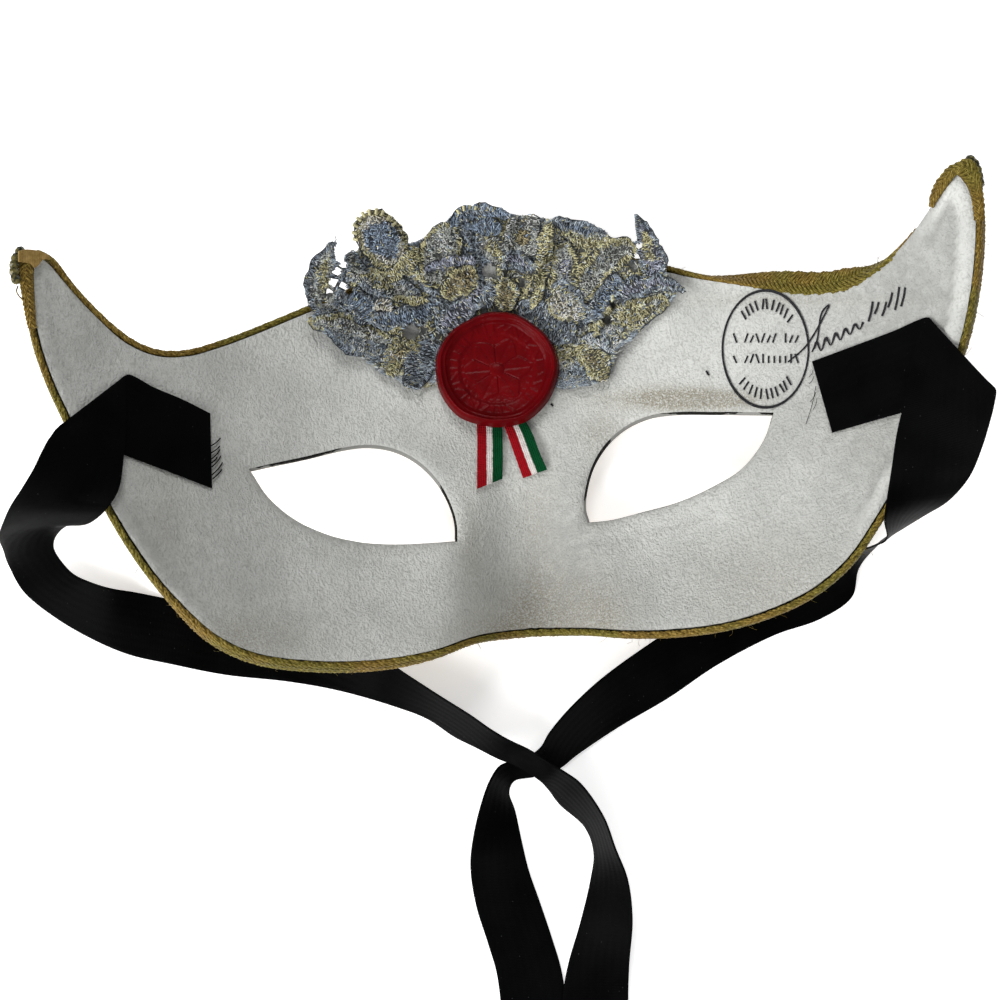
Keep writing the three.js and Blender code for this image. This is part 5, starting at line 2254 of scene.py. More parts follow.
@dataclass(frozen=True)
class Fan:
    """The gathered ground of the lace, round the seal."""

    rows: int = 250
    columns: int = 44
    inner: float = 44.0
    rim: tuple[tuple[float, float], ...] = (
        (562, 388), (600, 381), (612, 366), (616, 350), (632, 338), (655, 316), (668, 303), (676, 294),
        (670, 278), (664, 268), (656, 250), (648, 238), (634, 242), (612, 240), (590, 233), (566, 226),
        (545, 219), (520, 216), (500, 212), (484, 209), (470, 208), (458, 212), (446, 222), (428, 236),
        (410, 244), (398, 240), (384, 240), (366, 244), (356, 252), (346, 262), (332, 262), (320, 268),
        (313, 288), (318, 306), (310, 321), (332, 338), (352, 350), (372, 364), (384, 374), (398, 379),
        (408, 387), (421, 387), (428, 378), (440, 362),
    )

    def spread(self, a: Array, b: Array) -> Array:
        """Pixels at shares round the fan and out from the seal.

        Args:
            a: Shares along it.
            b: Shares across it.

        Returns:
            Pixels of the photograph.
        """
        rim = smooth_line(self.rim, 6)
        reached = lengths_along(rim)
        outer = pick_along(rim, a.ravel() * reached[-1]).reshape(*a.shape, 2)
        way = outer - SEAL_PIXEL
        inner = SEAL_PIXEL + way / np.linalg.norm(way, axis=-1, keepdims=True) * self.inner
        return inner + (outer - inner) * b[..., None]

    def locate(self, a: Array, b: Array, over: float = 0.0) -> Array:
        """Places at shares round and out, on the cloth or above it."""
        pixels = self.spread(a, b)
        return STUDIO.on_face(pixels, gather(pixels) + over)


@dataclass(frozen=True)
class Lobe:
    """One embroidered shape of the lace, along a spine of pixels with half widths in pixels."""

    spine: tuple[tuple[float, float], ...]
    halves: tuple[float, ...]
    fill: Tone
    border: Tone
    lift: float = 0.8
    arch: float = 0.8
    work: Work = Work.NET
    edging: float = 1.3
    core: Tone | None = None
    core_size: float = 0.5

    def spread(self, a: Array, b: Array) -> Array:
        """Pixels at shares along the spine and across it, from -1 to 1.

        Args:
            a: Shares along it.
            b: Shares across it.

        Returns:
            Pixels of the photograph.
        """
        line = smooth_line(self.spine, 10)
        reached = lengths_along(line)
        flat = a.ravel()
        here = pick_along(line, np.clip(flat, 0, 1) * reached[-1])
        ahead = pick_along(line, np.clip(flat + 0.02, 0, 1) * reached[-1])
        behind = pick_along(line, np.clip(flat - 0.02, 0, 1) * reached[-1])
        way = unit(ahead - behind)
        side = np.stack([-way[:, 1], way[:, 0]], 1)
        flat = here + side * (self.half(flat) * b.ravel())[:, None]
        drift = np.stack([rough(flat, 14.0, 21), rough(flat, 14.0, 22)], 1)
        return (flat + 4.5 * drift).reshape(*a.shape, 2)

    def half(self, a: Array) -> Array:
        """Half width in pixels, closing round the two ends.

        Args:
            a: Shares along it.

        Returns:
            Half the width at each share.
        """
        stops = np.linspace(0, 1, len(self.halves))
        width = np.interp(a, stops, self.halves)
        return width * np.sqrt(np.clip(1 - np.abs(2 * a - 1) ** 7, 0.0, 1)) + 0.15

    def locate(self, a: Array, b: Array, over: float = 0.0) -> Array:
        """Places on the shape's arched surface, or above it.

        Args:
            a: Shares along it.
            b: Shares across it.
            over: Height over the surface.

        Returns:
            Points in space.
        """
        pixels = self.spread(a, b)
        ends = np.sin(np.pi * np.clip(a, 0, 1))
        rise = 0.5 * self.lift + 0.24 * self.arch * (1 - b * b) * (0.35 + 0.65 * ends)
        return STUDIO.on_face(pixels, gather(pixels) + rise + over)

    def bands(self, a: Array, b: Array) -> tuple[Array, Array]:
        """Tells which shares lie in the core and which in the border.

        Args:
            a: Shares along it.
            b: Shares across it.

        Returns:
            True in the core, and true in the border.
        """
        half = np.maximum(self.half(a) * PIXEL, 0.05)
        ends = np.minimum(a, 1 - a) * self.length()
        border = np.minimum((1 - np.abs(b)) * half, ends + 0.3) < self.edging
        core = np.hypot((a - 0.5) * 2, b) < self.core_size if self.core else np.zeros(a.shape, bool)
        return core & ~border, border

    def length(self) -> float:
        """Length of the spine in millimetres."""
        return lengths_along(smooth_line(self.spine, 6))[-1] * PIXEL


S, B, V, GY, GO, BR, IV, PA = (
    Tone.SLATE, Tone.BLUE, Tone.VIOLET, Tone.GREY, Tone.GOLD, Tone.BRONZE, Tone.IVORY, Tone.PALE)
LOBES = (
    # lower left, on the lining
    Lobe(((401, 351), (366, 337), (335, 326), (304, 321)), (10, 15, 14, 4), GY, GO, 0.2, 0.9),
    Lobe(((398, 362), (375, 352), (345, 342), (322, 331)), (7, 9, 8, 4), S, S, 0.7, 0.6, Work.SATIN),
    Lobe(((408, 338), (397, 355), (384, 373)), (9, 12, 8), GO, GO, 0.9, 1.0, core=BR),
    Lobe(((432, 342), (421, 362), (413, 389)), (14, 16, 9), S, S, 1.2, 1.0, Work.SATIN),
    # left wing
    Lobe(((332, 312), (323, 290), (324, 266), (334, 242)), (14, 18, 14, 2), GY, S, 0.4, 0.9, core=GO,
         core_size=0.42),
    Lobe(((350, 292), (362, 306), (371, 323)), (11, 13, 8), B, S, 1.5, 1.2, Work.SATIN),
    Lobe(((367, 320), (395, 319), (424, 312), (440, 301)), (7, 9, 10, 8), B, S, 1.6, 0.9, Work.SATIN),
    Lobe(((392, 328), (404, 337), (416, 349)), (5, 6, 4), GO, GO, 1.9, 0.6, Work.SATIN),
    Lobe(((348, 252), (358, 270), (380, 283), (420, 297)), (8, 11, 12, 9), GY, S, 1.6, 1.3, core=GO,
         core_size=0.4),
    Lobe(((362, 214), (372, 227), (387, 246), (404, 264)), (12, 21, 22, 13), IV, GO, 1.0, 1.1, edging=1.7,
         core=B, core_size=0.66),
    Lobe(((369, 268), (385, 277), (402, 268), (416, 249)), (6, 7, 8, 6), GO, GO, 2.4, 0.9),
    Lobe(((394, 298), (406, 301), (424, 300)), (4, 6, 4), GO, GO, 2.6, 0.5),
    # middle
    Lobe(((432, 288), (436, 264), (444, 242), (452, 224)), (11, 19, 20, 10), GY, GO, 1.2, 1.4),
    Lobe(((423, 270), (447, 262), (474, 262)), (4, 5, 4), V, V, 2.9, 0.6, Work.SATIN),
    Lobe(((444, 301), (455, 286), (479, 271)), (8, 13, 9), BR, GO, 2.2, 1.6),
    Lobe(((437, 329), (461, 310), (484, 288)), (8, 13, 9), V, S, 1.5, 1.5, Work.SATIN),
    Lobe(((446, 225), (464, 214), (488, 212), (512, 216)), (4, 7, 7, 4), S, B, 1.6, 0.9),
    Lobe(((464, 226), (482, 226), (502, 232)), (5, 7, 5), B, B, 2.2, 0.6, Work.SATIN),
    Lobe(((484, 243), (496, 250), (505, 262)), (8, 11, 7), GO, GY, 1.6, 1.0),
    Lobe(((522, 260), (523, 237), (526, 215)), (14, 17, 12), GY, GY, 1.7, 1.2, core=BR, core_size=0.4),
    Lobe(((506, 309), (507, 292), (505, 275)), (10, 11, 6), BR, GO, 2.4, 1.4),
    Lobe(((501, 261), (519, 261), (536, 269)), (7, 8, 6), V, S, 2.7, 0.9, Work.SATIN),
    Lobe(((534, 312), (540, 284), (545, 256), (549, 223)), (4, 6, 8, 7), GO, GO, 2.8, 1.2, Work.SATIN),
    # right wing
    Lobe(((552, 222), (582, 229), (606, 237)), (5, 7, 5), B, S, 1.8, 0.8, Work.SATIN),
    Lobe(((560, 231), (590, 242), (630, 241)), (5, 8, 5), GO, GO, 1.7, 0.9),
    Lobe(((558, 292), (566, 265), (561, 243)), (12, 15, 9), GY, GO, 1.5, 1.0, core=V, core_size=0.45),
    Lobe(((576, 302), (600, 264), (634, 245)), (10, 15, 9), GY, GO, 1.4, 1.2),
    Lobe(((656, 278), (651, 255), (645, 235), (638, 213)), (13, 13, 9, 2), V, S, 0.9, 0.9, edging=1.1,
         core=GO, core_size=0.5),
    Lobe(((592, 322), (603, 298), (624, 278)), (7, 11, 9), B, S, 2.2, 1.1, Work.SATIN),
    Lobe(((592, 322), (574, 300), (557, 280)), (6, 9, 8), S, S, 2.3, 1.1, Work.SATIN),
    Lobe(((618, 294), (645, 285), (668, 284), (685, 293)), (10, 9, 7, 3), V, S, 1.7, 0.9, Work.SATIN),
    Lobe(((596, 332), (622, 320), (648, 310), (670, 301)), (13, 16, 13, 5), GY, GO, 0.5, 1.1, core=GO,
         core_size=0.6),
    Lobe(((549, 296), (564, 305), (579, 320)), (12, 16, 9), IV, GO, 2.4, 1.4),
    Lobe(((518, 305), (545, 318), (574, 340)), (12, 16, 14), S, S, 1.6, 1.3, Work.SATIN),
    Lobe(((614, 296), (606, 314), (594, 335)), (2.6, 3.2, 2.6), GO, GO, 2.7, 0.5, Work.SATIN),
    Lobe(((376, 307), (384, 303), (392, 309)), (4, 6, 4), IV, IV, 2.3, 0.6, Work.SATIN),
    Lobe(((474, 308), (486, 298), (494, 285)), (6, 7, 5), S, S, 2.0, 0.9, Work.SATIN),
    Lobe(((584, 345), (600, 340), (617, 347)), (8, 11, 8), PA, PA, 0.8, 0.9, Work.SATIN),
    Lobe(((572, 348), (590, 358), (605, 380)), (9, 13, 9), GO, GO, 1.0, 1.2, core=BR, core_size=0.35),
)


@dataclass(frozen=True)
class Lace:
    """Metallic lace, gathered under the seal and fanned out over the brow and past the rim."""

    ground: float = 0.3
    ground_painted_shade: float = 0.16
    lobe_columns: int = 15
    net_stitches: int = 13000
    edge_stitches: int = 620
    curls: tuple = (
        ((410, 386), (414, 394), (420, 396), (423, 391), (419, 388)), ((416, 384), (421, 392), (417, 398)),
        ((600, 378), (604, 386), (602, 391)), ((604, 375), (609, 383), (608, 389)),
        ((597, 380), (599, 387), (597, 390)), ((608, 350), (616, 353), (621, 350)),
        ((604, 354), (612, 358), (617, 357)), ((332, 245), (336, 240), (335, 236)),
        ((556, 356), (563, 366), (566, 374)),
    )
    fingers: tuple = (
        ((358, 240), (353, 238.8)), ((357, 234), (352, 232.1)), ((358, 227), (353, 224.5)),
        ((361, 221), (356.7, 217.3)), ((365, 217), (361.9, 212)), ((370, 215), (368.8, 209.4)),
        ((376, 214), (376.6, 208.4)), ((381, 216), (382.9, 211)), ((387, 220), (389.5, 215.7)),
        ((392, 226), (395.1, 222.9)), ((459, 214), (457.1, 209.7)), ((464, 211), (463.4, 206)),
        ((469, 210), (469.6, 205)), ((475, 210), (476.2, 206.3)),
    )

    def build(self) -> None:
        """Makes the ground, the stitches and the loose ends."""
        rng = np.random.default_rng(SEED)
        fan = Fan()
        arcs, loops = Stitches(), Stitches()
        parts = [self.cloth(fan, fan.rows, fan.columns, 0.0)]
        self.fill_fan(fan, arcs, loops, rng)
        for lobe in LOBES:
            rows = max(10, round(lobe.length() / 0.9))
            parts.append(self.cloth(lobe, rows, self.lobe_columns, -1.0))
            self.fill_lobe(lobe, arcs, loops, rng)
        points, faces = join_parts([part[:2] for part in parts])
        tints = np.vstack([part[2] for part in parts])
        cloth = make_object(
            "lace", points, faces, LaceThread().material(),
            fields={"tint": tints, "shine": np.full(len(tints), 0.1)}, closed=True)
        settle(cloth, "lace_thread", "lace_fan")
        sewn = [settle(arcs.build("lace_stitches_left", False, -1), "lace_thread"),
                settle(arcs.build("lace_stitches_right", False, 1), "lace_thread"),
                settle(loops.build("lace_loops", True), "lace_thread")]
        sewn.append(self.outlines())
        for name, pixels, radius, tone in (
                ("lace_ends", self.curls, 0.15, Tone.GREY),
                ("lace_fingers", self.fingers, 0.42, Tone.GOLD)):
            lines = []
            for line in pixels:
                run = smooth_line(line, 5)
                lines.append(STUDIO.on_face(run, gather(run) + (1.2 if radius > 0.3 else 0.4)))
            fields = toned(lines, tone, tone.value[3])
            ends = yarn_lines(name, lines, radius, LaceThread().material(), 6, fields=fields)
            sewn.append(settle(ends, "lace_thread"))
        area = sum(p.area for p in cloth.data.polygons) / 2
        LOG.info("lace cloth: %.6f square metres", area)

    def cloth(self, patch: Fan | Lobe, rows: int, columns: int, low: float) -> tuple[Array, list, Array]:
        """The thin ground of one part, without its openings, in the colours of its bands, darkened as
        painted shade between the stitches.

        Args:
            patch: The part.
            rows: Points along it.
            columns: Points across it.
            low: Share at which it starts across.

        Returns:
            Its points, its faces and the tint of each point.
        """
        a, b = np.meshgrid(np.linspace(0, 1, rows), np.linspace(low, 1.0, columns), indexing="ij")
        top = patch.locate(a, b)
        under = patch.locate(a, b, -self.ground)
        pixels = patch.spread(a, b)
        centres = (pixels[:-1, :-1] + pixels[1:, 1:]) / 2
        faces = sheet_faces(rows, columns, ~open_at(centres))
        tint = np.ones((rows, columns, 4))
        if isinstance(patch, Lobe):
            core, border = patch.bands(a, b)
            tint[..., :3] = patch.fill.value[:3]
            tint[core, :3] = (patch.core or patch.fill).value[:3]
            tint[border, :3] = patch.border.value[:3]
            tint[np.abs(b) > 0.95, :3] = Tone.SHADOW.value[:3]
        else:
            cloudy = rough(pixels.reshape(-1, 2), 26.0, 5).reshape(a.shape)
            tint[..., :3] = Tone.GREY.value[:3]
            tint[cloudy < -0.1, :3] = Tone.SLATE.value[:3]
        # The ground's tint is darkened as painted shade seen between the stitches.
        tint[..., :3] *= self.ground_painted_shade
        return both_sides(top, under), faces, np.tile(tint.reshape(-1, 4), (2, 1))

    @staticmethod
    def outlines() -> Object:
        """Dark cords round the shapes and round their cores.

        Returns:
            The object.
        """
        lines = []
        for lobe in LOBES:
            count = max(12, round(lobe.length() / 0.8))
            run = np.linspace(0.02, 0.98, count)
            ring = np.linspace(0, 2 * math.pi, 22, endpoint=False)
            sides = [(run, np.full(count, 1.02)), (run, np.full(count, -1.02))]
            if lobe.core:
                sides.append((0.5 + 0.5 * lobe.core_size * np.cos(ring), lobe.core_size * np.sin(ring)))
            for a, b in sides:
                pixels = lobe.spread(a, b)
                clear = ~open_at(pixels, 1.0)
                if clear.all():
                    lines.append(lobe.locate(a, b, 0.22))
                elif clear[:count // 2].all():
                    lines.append(lobe.locate(a, b, 0.22)[:count // 2])
        fields = toned(lines, Tone.SHADOW, 0.2)
        cords = yarn_lines("lace_cords", lines, 0.16, LaceThread().material(), 5, fields=fields)
        return settle(cords, "lace_thread")

    @staticmethod
    def frames(patch: Fan | Lobe, a: Array, b: Array) -> tuple[Array, Array, Array, Array]:
        """Places on a part, and its directions along, across and up there.

        Args:
            patch: The piece of lace.
            a: Shares along it.
            b: Shares across it.

        Returns:
            Places and the three directions there.
        """
        step = 0.01
        here = patch.locate(a, b, 0.08)
        along = unit(patch.locate(np.minimum(a + step, 1), b) - patch.locate(np.maximum(a - step, 0), b))
        across = unit(patch.locate(a, b + step) - patch.locate(a, b - step))
        up = unit(np.cross(along, across))
        up = up * np.where(up[:, 2:] < 0, -1.0, 1.0)
        return here, along, across, up

    def fill_fan(self, fan: Fan, arcs: Stitches, loops: Stitches, rng: np.random.Generator) -> None:
        """Net stitches on the ground where no shape covers it, and an edging.

        Args:
            fan: The fan.
            arcs: Takes the stitches.
            loops: Takes the loops.
            rng: Source of the random draws.
        """
        a = rng.random(self.net_stitches)
        b = np.sqrt(rng.uniform(0.012, 1.0, self.net_stitches))
        pixels = fan.spread(a, b)
        keep = ~open_at(pixels, 1.0)
        for lobe in LOBES:
            hull = np.vstack([lobe.spread(np.linspace(0, 1, 16), np.full(16, 0.8)),
                              lobe.spread(np.linspace(1, 0, 16), np.full(16, -0.8))])
            keep &= ~inside(pixels, hull)
        a, b, pixels = a[keep], b[keep], pixels[keep]
        here, along, across, up = self.frames(fan, a, b)
        cloudy = rough(pixels, 26.0, 5)
        spin = rng.uniform(0, math.pi, len(a))[:, None]
        forward = across * np.cos(spin) + along * np.sin(spin)
        for tone, chosen in (
                (Tone.SLATE, cloudy < -0.05), (Tone.GREY, (cloudy >= -0.05) & (cloudy < 0.12)),
                (Tone.GOLD, cloudy >= 0.12)):
            ring = chosen & (rng.random(len(a)) < 0.25)
            plain = chosen & ~ring
            arcs.put(
                here[plain], forward[plain], up[plain], rng.uniform(0.7, 1.1, plain.sum()), 1.45, tone, rng)
            loops.put(
                here[ring], forward[ring], up[ring], rng.uniform(0.8, 1.2, ring.sum()), 1.1, tone, rng)
        edge = np.linspace(0, 1, self.edge_stitches)
        out = np.full(self.edge_stitches, 0.985)
        clear = ~open_at(fan.spread(edge, out))
        here, along, across, up = self.frames(fan, edge[clear], out[clear])
        arcs.put(here, across, up, np.full(len(here), 1.2), 1.5, Tone.SLATE, rng)

    def fill_lobe(self, lobe: Lobe, arcs: Stitches, loops: Stitches, rng: np.random.Generator) -> None:
        """Border, fill and core of one shape.

        Args:
            lobe: The lobe.
            arcs: Takes the stitches.
            loops: Takes the loops.
            rng: Source of the random draws.
        """
        length = lobe.length()

        def sew(a: Array, b: Array, angle: Array, size: Array, tone: Tone, ring: float = 0.0) -> None:
            """Sews stitches of one tone where there is no opening.

            Args:
                a: Shares along the lobe.
                b: Shares across it.
                angle: Their turn in the surface.
                size: Their size.
                tone: Their colour.
                ring: Share of them that are closed loops.
            """
            clear = ~open_at(lobe.spread(a, b), 0.5)
            here, along, across, up = self.frames(lobe, a[clear], b[clear])
            forward = across * np.cos(angle[clear, None]) + along * np.sin(angle[clear, None])
            chosen = rng.random(len(here)) < ring
            size = size[clear]
            arcs.put(here[~chosen], forward[~chosen], up[~chosen], size[~chosen], 1.3, tone, rng)
            loops.put(here[chosen], forward[chosen], up[chosen], size[chosen] * 1.1, 1.1, tone, rng)

        runs = max(8, round(length / 0.34))
        a = np.linspace(0.02, 0.98, runs)
        half = lobe.half(a) * PIXEL
        for depth in (0.25, 0.7):
            inset = np.clip(1 - lobe.edging * depth / half, 0, 1)
            for side in (-1, 1):
                sew(a + rng.normal(0, 0.004, runs), side * inset, rng.normal(0.3 * side, 0.4, runs),
                    np.full(runs, min(lobe.edging * 0.75, 1.0)), lobe.border)
        satin = lobe.work is Work.SATIN
        wide = 2 * float(half.max())
        columns, rows = max(3, round(wide / 0.46)), max(4, round(length / 0.44))
        row, column = np.meshgrid(np.arange(rows), np.arange(columns), indexing="ij")
        a = ((row.ravel() + 0.5 + rng.normal(0, 0.22, row.size)) / rows).clip(0.02, 0.98)
        b = ((column.ravel() + 0.5 + rng.normal(0, 0.22, row.size)) / columns * 2 - 1).clip(-0.96, 0.96)
        near = lobe.half(a) * PIXEL * 2 / wide
        keep = rng.random(len(a)) < near * 1.15
        a, b, lay = a[keep], b[keep], (column.ravel() % 2)[keep]
        core, border = lobe.bands(a, b)
        plain = ~core & ~border
        count = len(a)
        if satin:
            spin = rng.normal(0.25, 0.30, count)
        else:
            spin = np.where(lay, 0.95, -0.95) + rng.normal(0, 0.28, count) + math.pi / 2
        size = rng.uniform(0.60, 0.92, count)
        sew(a[plain], b[plain], spin[plain], size[plain], lobe.fill, 0.0 if satin else 0.10)
        if lobe.core:
            sew(a[core], b[core], spin[core], size[core], lobe.core)


@dataclass(frozen=True)
class Seal:
    """Poured wax disc with a raised uneven rim, a ring of plain strokes and a pressed rosette."""

    radius: float = 15.0
    lift: float = 1.9
    rings: int = 84
    edge_rings: int = 22
    spokes: int = 320
    strokes: int = 34
    profile: tuple = (
        (0, 1.75), (0.58, 1.7), (0.64, 2.05), (0.78, 2.0), (0.84, 2.7), (0.92, 3.3), (0.97, 2.6),
        (1.0, 1.1))

    def edge(self, angle: Array) -> Array:
        """Radius of the poured edge.

        Args:
            angle: Angle in radians.

        Returns:
            Radius of the seal at that angle.
        """
        return self.radius * (
            1.005 + 0.02 * np.cos(2 * angle) + 0.012 * np.sin(5 * angle + 1) + 0.004
            * np.sin(11 * angle + 2))

    def marks(self) -> Array:
        """Strokes of the ring: start and end of each, in the disc's own plane.

        Returns:
            Four numbers for each stroke.
        """
        rng = np.random.default_rng(SEED)
        made = []
        for k in range(self.strokes):
            angle = 2 * math.pi * (k + 0.5) / self.strokes + rng.normal(0, 0.01)
            if rng.random() < 0.16:
                continue
            tilt = rng.choice([-0.07, 0.0, 0.0, 0.08])
            inner, outer = (9.8, 11.6) if rng.random() < 0.75 else (10.3, 11.2)
            made.append([inner * math.cos(angle - tilt), inner * math.sin(angle - tilt),
                         outer * math.cos(angle + tilt), outer * math.sin(angle + tilt)])
        return np.array(made)

    def height(self, x: Array, y: Array) -> Array:
        """Height of the wax over its underside, at places measured from its middle.

        Args:
            x: Places across.
            y: Places up.

        Returns:
            Height of the face.
        """
        r = np.hypot(x, y)
        angle = np.arctan2(y, x)
        share = r / self.edge(angle)
        base = np.interp(share, *zip(*self.profile))
        wave = 1 + 0.16 * np.sin(2 * angle + 0.6) + 0.10 * np.sin(5 * angle) + 0.05 * np.sin(13 * angle + 1)
        base = base + 0.35 * np.exp(-(((share - 0.93) / 0.035) ** 2)) * wave
        base = base + 0.30 * np.exp(
            -(((share - 0.845 - 0.012 * np.sin(3 * angle)) / 0.014) ** 2)) * (0.6 + 0.4
            * np.sin(4 * angle + 2))
        turn = np.cos(6 * angle)
        petal = smooth((0.50 + 0.07 * turn - share) / 0.03) * smooth((share - 0.10) / 0.05)
        vein = 1 - 0.55 * np.exp(-((np.abs(np.sin(3 * angle)) * r / 1.1) ** 2))
        gap = smooth((np.abs(np.cos(3 * angle)) * r - 0.25) / 0.5)
        base = base + 0.17 * petal * vein * gap
        base = base + 0.45 * np.sqrt(np.clip(1 - (share / 0.12) ** 2, 0, 1))
        beads = np.exp(-((share - 0.565) / 0.016) ** 2) * smooth(np.sin(30 * angle) * 1.5 + 0.6)
        base = base + 0.12 * beads
        for x1, y1, x2, y2 in self.marks():
            along = np.array([x2 - x1, y2 - y1])
            t = np.clip(((x - x1) * along[0] + (y - y1) * along[1]) / (along @ along), 0, 1)
            away = np.hypot(x - x1 - t * along[0], y - y1 - t * along[1])
            base = base + 0.12 * smooth((0.42 - away) / 0.28) * (share < 0.82)
        return base

    def build(self) -> None:
        """Makes the seal."""
        share = np.concatenate(
            [np.linspace(0.012, 0.80, self.rings - self.edge_rings),
            np.linspace(0.81, 1.0, self.edge_rings)])
        angle = np.linspace(0, 2 * math.pi, self.spokes, endpoint=False)
        grid, spin = np.meshgrid(share, angle, indexing="ij")
        r = grid * self.edge(spin)
        x, y = r * np.cos(spin), r * np.sin(spin)
        height = self.height(x, y) + 0.05 * rough(
            np.stack([x.ravel(), y.ravel()], 1), 3.0, 4).reshape(x.shape)
        plane = np.stack([x, y], -1) + SEAL_CENTRE
        top = FACE.lay(plane, self.lift + height)
        wall = [(1.012, 0.7), (1.004, 0.25), (0.97, 0.0)]
        under = [
            FACE.lay(np.stack([self.edge(angle) * s * np.cos(angle), self.edge(angle) * s * np.sin(angle)],
            -1) + SEAL_CENTRE, self.lift + h) for s, h in wall]
        rings = np.concatenate([top, np.array(under)])
        count, size = rings.shape[:2]
        points = np.vstack(
            [rings.reshape(-1, 3), FACE.lay(SEAL_CENTRE[None], self.lift + 2.2),
            FACE.lay(SEAL_CENTRE[None], self.lift)])
        faces = []
        for k in range(size):
            n = (k + 1) % size
            faces.append((count * size, k, n))
            faces.append((count * size + 1, (count - 1) * size + n, (count - 1) * size + k))
            faces += [
                (i * size + k, (i + 1) * size + k, (i + 1) * size + n, i * size + n)
                for i in range(count - 1)]
        seal = make_object("seal", points, faces, SealingWax().material(), closed=True, crease=80)
        settle(seal, "wax_red", "wax_seal")


@dataclass(frozen=True)
class SealRibbon:
    """The narrow three-coloured ribbon folded under the seal, with its two tails."""

    thickness: float = 0.35

    def route(self) -> list:
        """Edge pairs: up the left tail, over the fold, down the right tail.

        Returns:
            The two edge points of each place.
        """
        def low(x: float, y: float) -> tuple:
            """A place on the lower layer of the fold."""
            return folded(x, y, 0.62)

        def high(x: float, y: float) -> tuple:
            """A place on the upper layer of the fold."""
            return folded(x, y, 1.28)

        return [
            (folded(-10, -5.5, 1), folded(-3.6, -3.2, 0.9)), (folded(-9.4, 1, 1.1), folded(-3, 1.5, 1.4)),
            (low(-8.8, 7.5), low(-2.5, 7.3)), (low(-8.6, 10.9), low(-2.3, 10.3)),
            (low(-7.9, 18.5), low(-1.6, 17.8)), (low(-7.4, 24.4), low(-1.1, 23.8)),
            (folded(-7.35, 24.8, 0.95), folded(-1.05, 24.2, 0.95)), (high(-7.3, 24.4), high(-1, 23.8)),
            (high(-5.2, 18.2), high(1, 18.2)), (high(-2, 10.8), high(3.6, 11)), (high(-1, 7), high(5, 7.6)),
            (folded(0.3, 1.5, 1.3), folded(6.2, 2.6, 1.6)),
            (folded(1.6, -3.5, 0.9), folded(7.7, -2.2, 1.1)),
        ]

    def build(self) -> None:
        """Makes the ribbon."""
        strip = Strip(self.route(), self.thickness, parts=6, selvage=0.3,
                      columns=(0.0, 0.04, 0.10, 0.25, 0.36, 0.5, 0.62, 0.75, 0.90, 0.96, 1.0))
        ribbon = strip.build("seal_ribbon_woven", Tricolour().material())
        settle(ribbon, "ribbon_tricolour", "seal_ribbon")
        LOG.info("seal ribbon is %.1f mm long", strip.length())


@dataclass(frozen=True)
class TipBeads:
    """Oval faceted beads at the tip of a horn, on a thread, at pixels of the photograph."""

    side: str
    places: tuple[tuple[float, float], ...]
    lift: float
    tail: tuple[tuple[float, float], ...] = ()
    size: tuple[float, float] = (1.1, 1.25)
    facets: int = 9
    levels: tuple[float, ...] = (-90, -62, -30, 0, 30, 62, 90)

    def bead(self, place: Array, way: Array, rng: np.random.Generator) -> tuple[Array, list]:
        """One bead: rings of a few points between two poles.

        Args:
            place: Where it hangs.
            way: Direction that it hangs in.
            rng: Source of the random draws.

        Returns:
            Points and faces of the bead.
        """
        side = unit(np.cross(way, np.array([0.0, 0.0, 1.0])))
        up = np.cross(side, way)
        points, faces, rings, first = [], [], [], 0
        for k, level in enumerate(np.radians(self.levels)):
            centre = place + way * self.size[1] * math.sin(level)
            if k in (0, len(self.levels) - 1):
                ring = centre[None]
            else:
                spin = np.linspace(0, 2 * math.pi, self.facets, endpoint=False)
                spin = spin + (k % 2) * math.pi / self.facets
                out = side * np.cos(spin)[:, None] + up * np.sin(spin)[:, None]
                ring = centre + out * (self.size[0] * math.cos(level))
                ring = ring + rng.normal(0, 0.02, ring.shape)
            points.append(ring)
            rings.append(list(range(first, first + len(ring))))
            first += len(ring)
        for lower, upper in zip(rings, rings[1:]):
            for k in range(self.facets):
                n = (k + 1) % self.facets
                if len(lower) == 1:
                    faces.append((lower[0], upper[n], upper[k]))
                elif len(upper) == 1:
                    faces.append((lower[k], lower[n], upper[0]))
                else:
                    faces.append((lower[k], lower[n], upper[n], upper[k]))
        return np.vstack(points), faces

    def build(self) -> None:
        """Makes the beads and their thread."""
        rng = np.random.default_rng(SEED)
        line = STUDIO.on_face(self.places, self.lift)
        ways = unit(np.gradient(line, axis=0))
        points, faces = join_parts([self.bead(place, way, rng) for place, way in zip(line, ways)])
        glass = BeadGlass().material()
        beads = make_object(f"beads_{self.side}", points, faces, glass, closed=True, crease=12)
        settle(beads, f"bead_{self.side}", f"tip_beads_{self.side}")
        threads = [smooth_line(line, 6)]
        if self.tail:
            threads.append(smooth_line(STUDIO.on_face(self.tail, 0.5), 5))
        settle(yarn_lines(f"bead_thread_{self.side}", threads, 0.16, GoldYarn().material(), 5),
               f"bead_{self.side}")


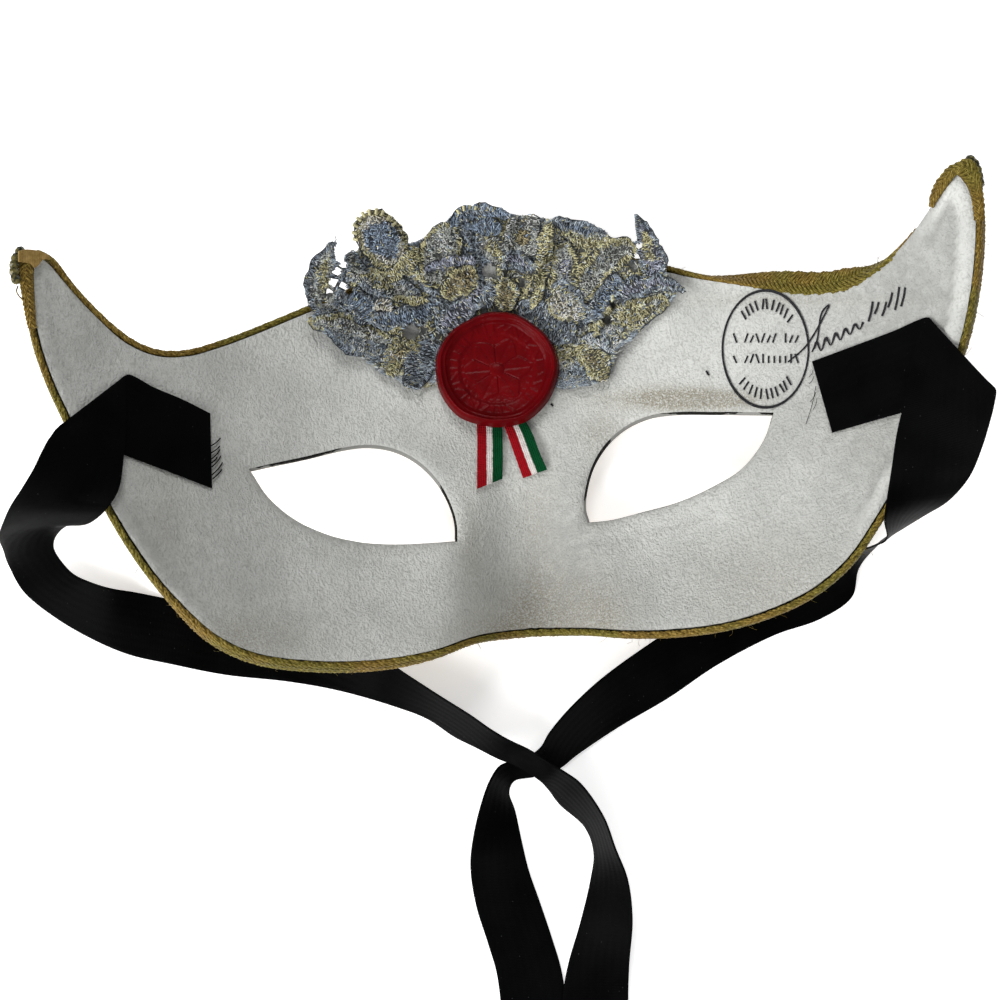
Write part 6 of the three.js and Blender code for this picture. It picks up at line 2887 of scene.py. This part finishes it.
@dataclass(frozen=True)
class InkMarks:
    """A plain oval ring with rows of strokes that aren't letters, and a wordless flourish."""

    centre: tuple[float, float] = (765.5, 349.0)
    half: tuple[float, float] = (43.0, 58.5)
    depth: float = 0.05
    rows: tuple[float, float] = (338.0, 358.5)
    slants: tuple = (
        (870.5, 311.5, 20), (876.5, 308, 12), (884, 309, 14), (890, 300, 15), (897, 298.5, 23),
        (903, 297, 19))
    loop: tuple = ((788, 362), (806, 346), (826, 312), (829, 305), (822, 312), (817, 340), (812, 352))
    dots: tuple = ((707, 372), (552, 405), (708, 374))

    def stroke(self, pixels: Array, width: Array | float) -> tuple[Array, list]:
        """A thin closed strip along a line of pixels, of a width in pixels.

        Args:
            pixels: Pixels of the photograph.
            width: Width, or one for each pixel.

        Returns:
            Points and faces of the stroke.
        """
        ways = unit(np.gradient(pixels, axis=0))
        side = np.stack([-ways[:, 1], ways[:, 0]], 1) * np.broadcast_to(width, len(pixels))[:, None] / 2
        grid = np.stack([pixels + side, pixels, pixels - side], 1)
        top = STUDIO.on_face(grid, 0.30 + self.depth)
        under = STUDIO.on_face(grid, -0.1)
        return both_sides(top, under), sheet_faces(len(pixels), 3)

    def lines(self) -> list[tuple[Array, float]]:
        """Lines of pixels with their widths.

        Returns:
            Lines and their widths.
        """
        cx, cy = self.centre
        rx, ry = self.half
        rng = np.random.default_rng(SEED)
        spin = np.linspace(0, 2 * math.pi, 90)
        ring = np.stack([cx + rx * np.cos(spin), cy - ry * np.sin(spin)], 1)
        made = [(ring, 2.0 + 0.9 * np.sin(spin + 0.3) ** 2)]
        for angle in np.radians([*range(42, 140, 9), *range(226, 318, 9)]):
            way = np.array([math.cos(angle), -math.sin(angle)])
            tilt = rng.uniform(-0.05, 0.05)
            turned = np.array([math.cos(angle + tilt), -math.sin(angle + tilt)])
            size = np.array([rx, ry])
            ends = self.centre + way * size * 0.68, self.centre + turned * size * 0.86
            made.append((np.linspace(*ends, 3), 1.9))
        for row in self.rows:
            for x in np.arange(735.0, 800.0, 5.6):
                if rng.random() < 0.1:
                    continue
                slant = rng.choice([-1.6, 0.0, 1.6])
                top = row - rng.choice([4.6, 2.6])
                made.append((np.linspace((x + slant, top), (x - slant, row + 4.6), 3), 1.7))
        run = np.linspace(0, 1, 60)
        wave = np.stack([814 + 49 * run, 349 - 25 * run - 5.5 * np.sin(run * 32) * (1 - 0.4 * run)], 1)
        made.append((wave, 2.0 + 0.8 * np.sin(run * 32)))
        for x, y, high in self.slants:
            bow = [(x + 2.2, y - high / 2), (x + 0.6, y), (x - 2.0, y + high / 2)]
            made.append((smooth_line(bow, 4), 2.3))
        made.append((smooth_line(self.loop, 6), 1.7))
        for x, y in self.dots:
            made.append((np.linspace((x - 1.0, y - 1.2), (x + 1.0, y + 1.2), 3), 1.8))
        return made

    def build(self) -> None:
        """Makes all ink as one piece."""
        points, faces = join_parts([self.stroke(pixels, width) for pixels, width in self.lines()])
        ink = make_object("stamp_marks", points, faces, Ink().material(), closed=True)
        settle(ink, "shell_white")


def main() -> None:
    """Builds the studio, then the mask piece by piece."""
    logging.basicConfig(level=logging.INFO, format="%(name)s: %(message)s")
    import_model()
    STUDIO.build_camera()
    STUDIO.build_floor()
    STUDIO.build_lights()
    Tie("left", LEFT_TIE, 342.0, LEFT_FRAYS).build()
    Tie("right", RIGHT_TIE, 308.0, RIGHT_FRAYS, 0.07).build()
    Shell().build()
    Braid().build()
    SealRibbon().build()
    Lace().build()
    Seal().build()
    TipBeads("left", ((20, 251.5), (16, 258), (14.2, 265), (14.2, 272), (15.6, 279)), 0.1,
             ((18, 286), (16.5, 291), (19, 296), (23, 300))).build()
    TipBeads("right", ((970.5, 160), (974.5, 164), (977, 170), (978.5, 176.5), (979.5, 183)), -1.6).build()
    InkMarks().build()


if __name__ == "__main__":
    main()
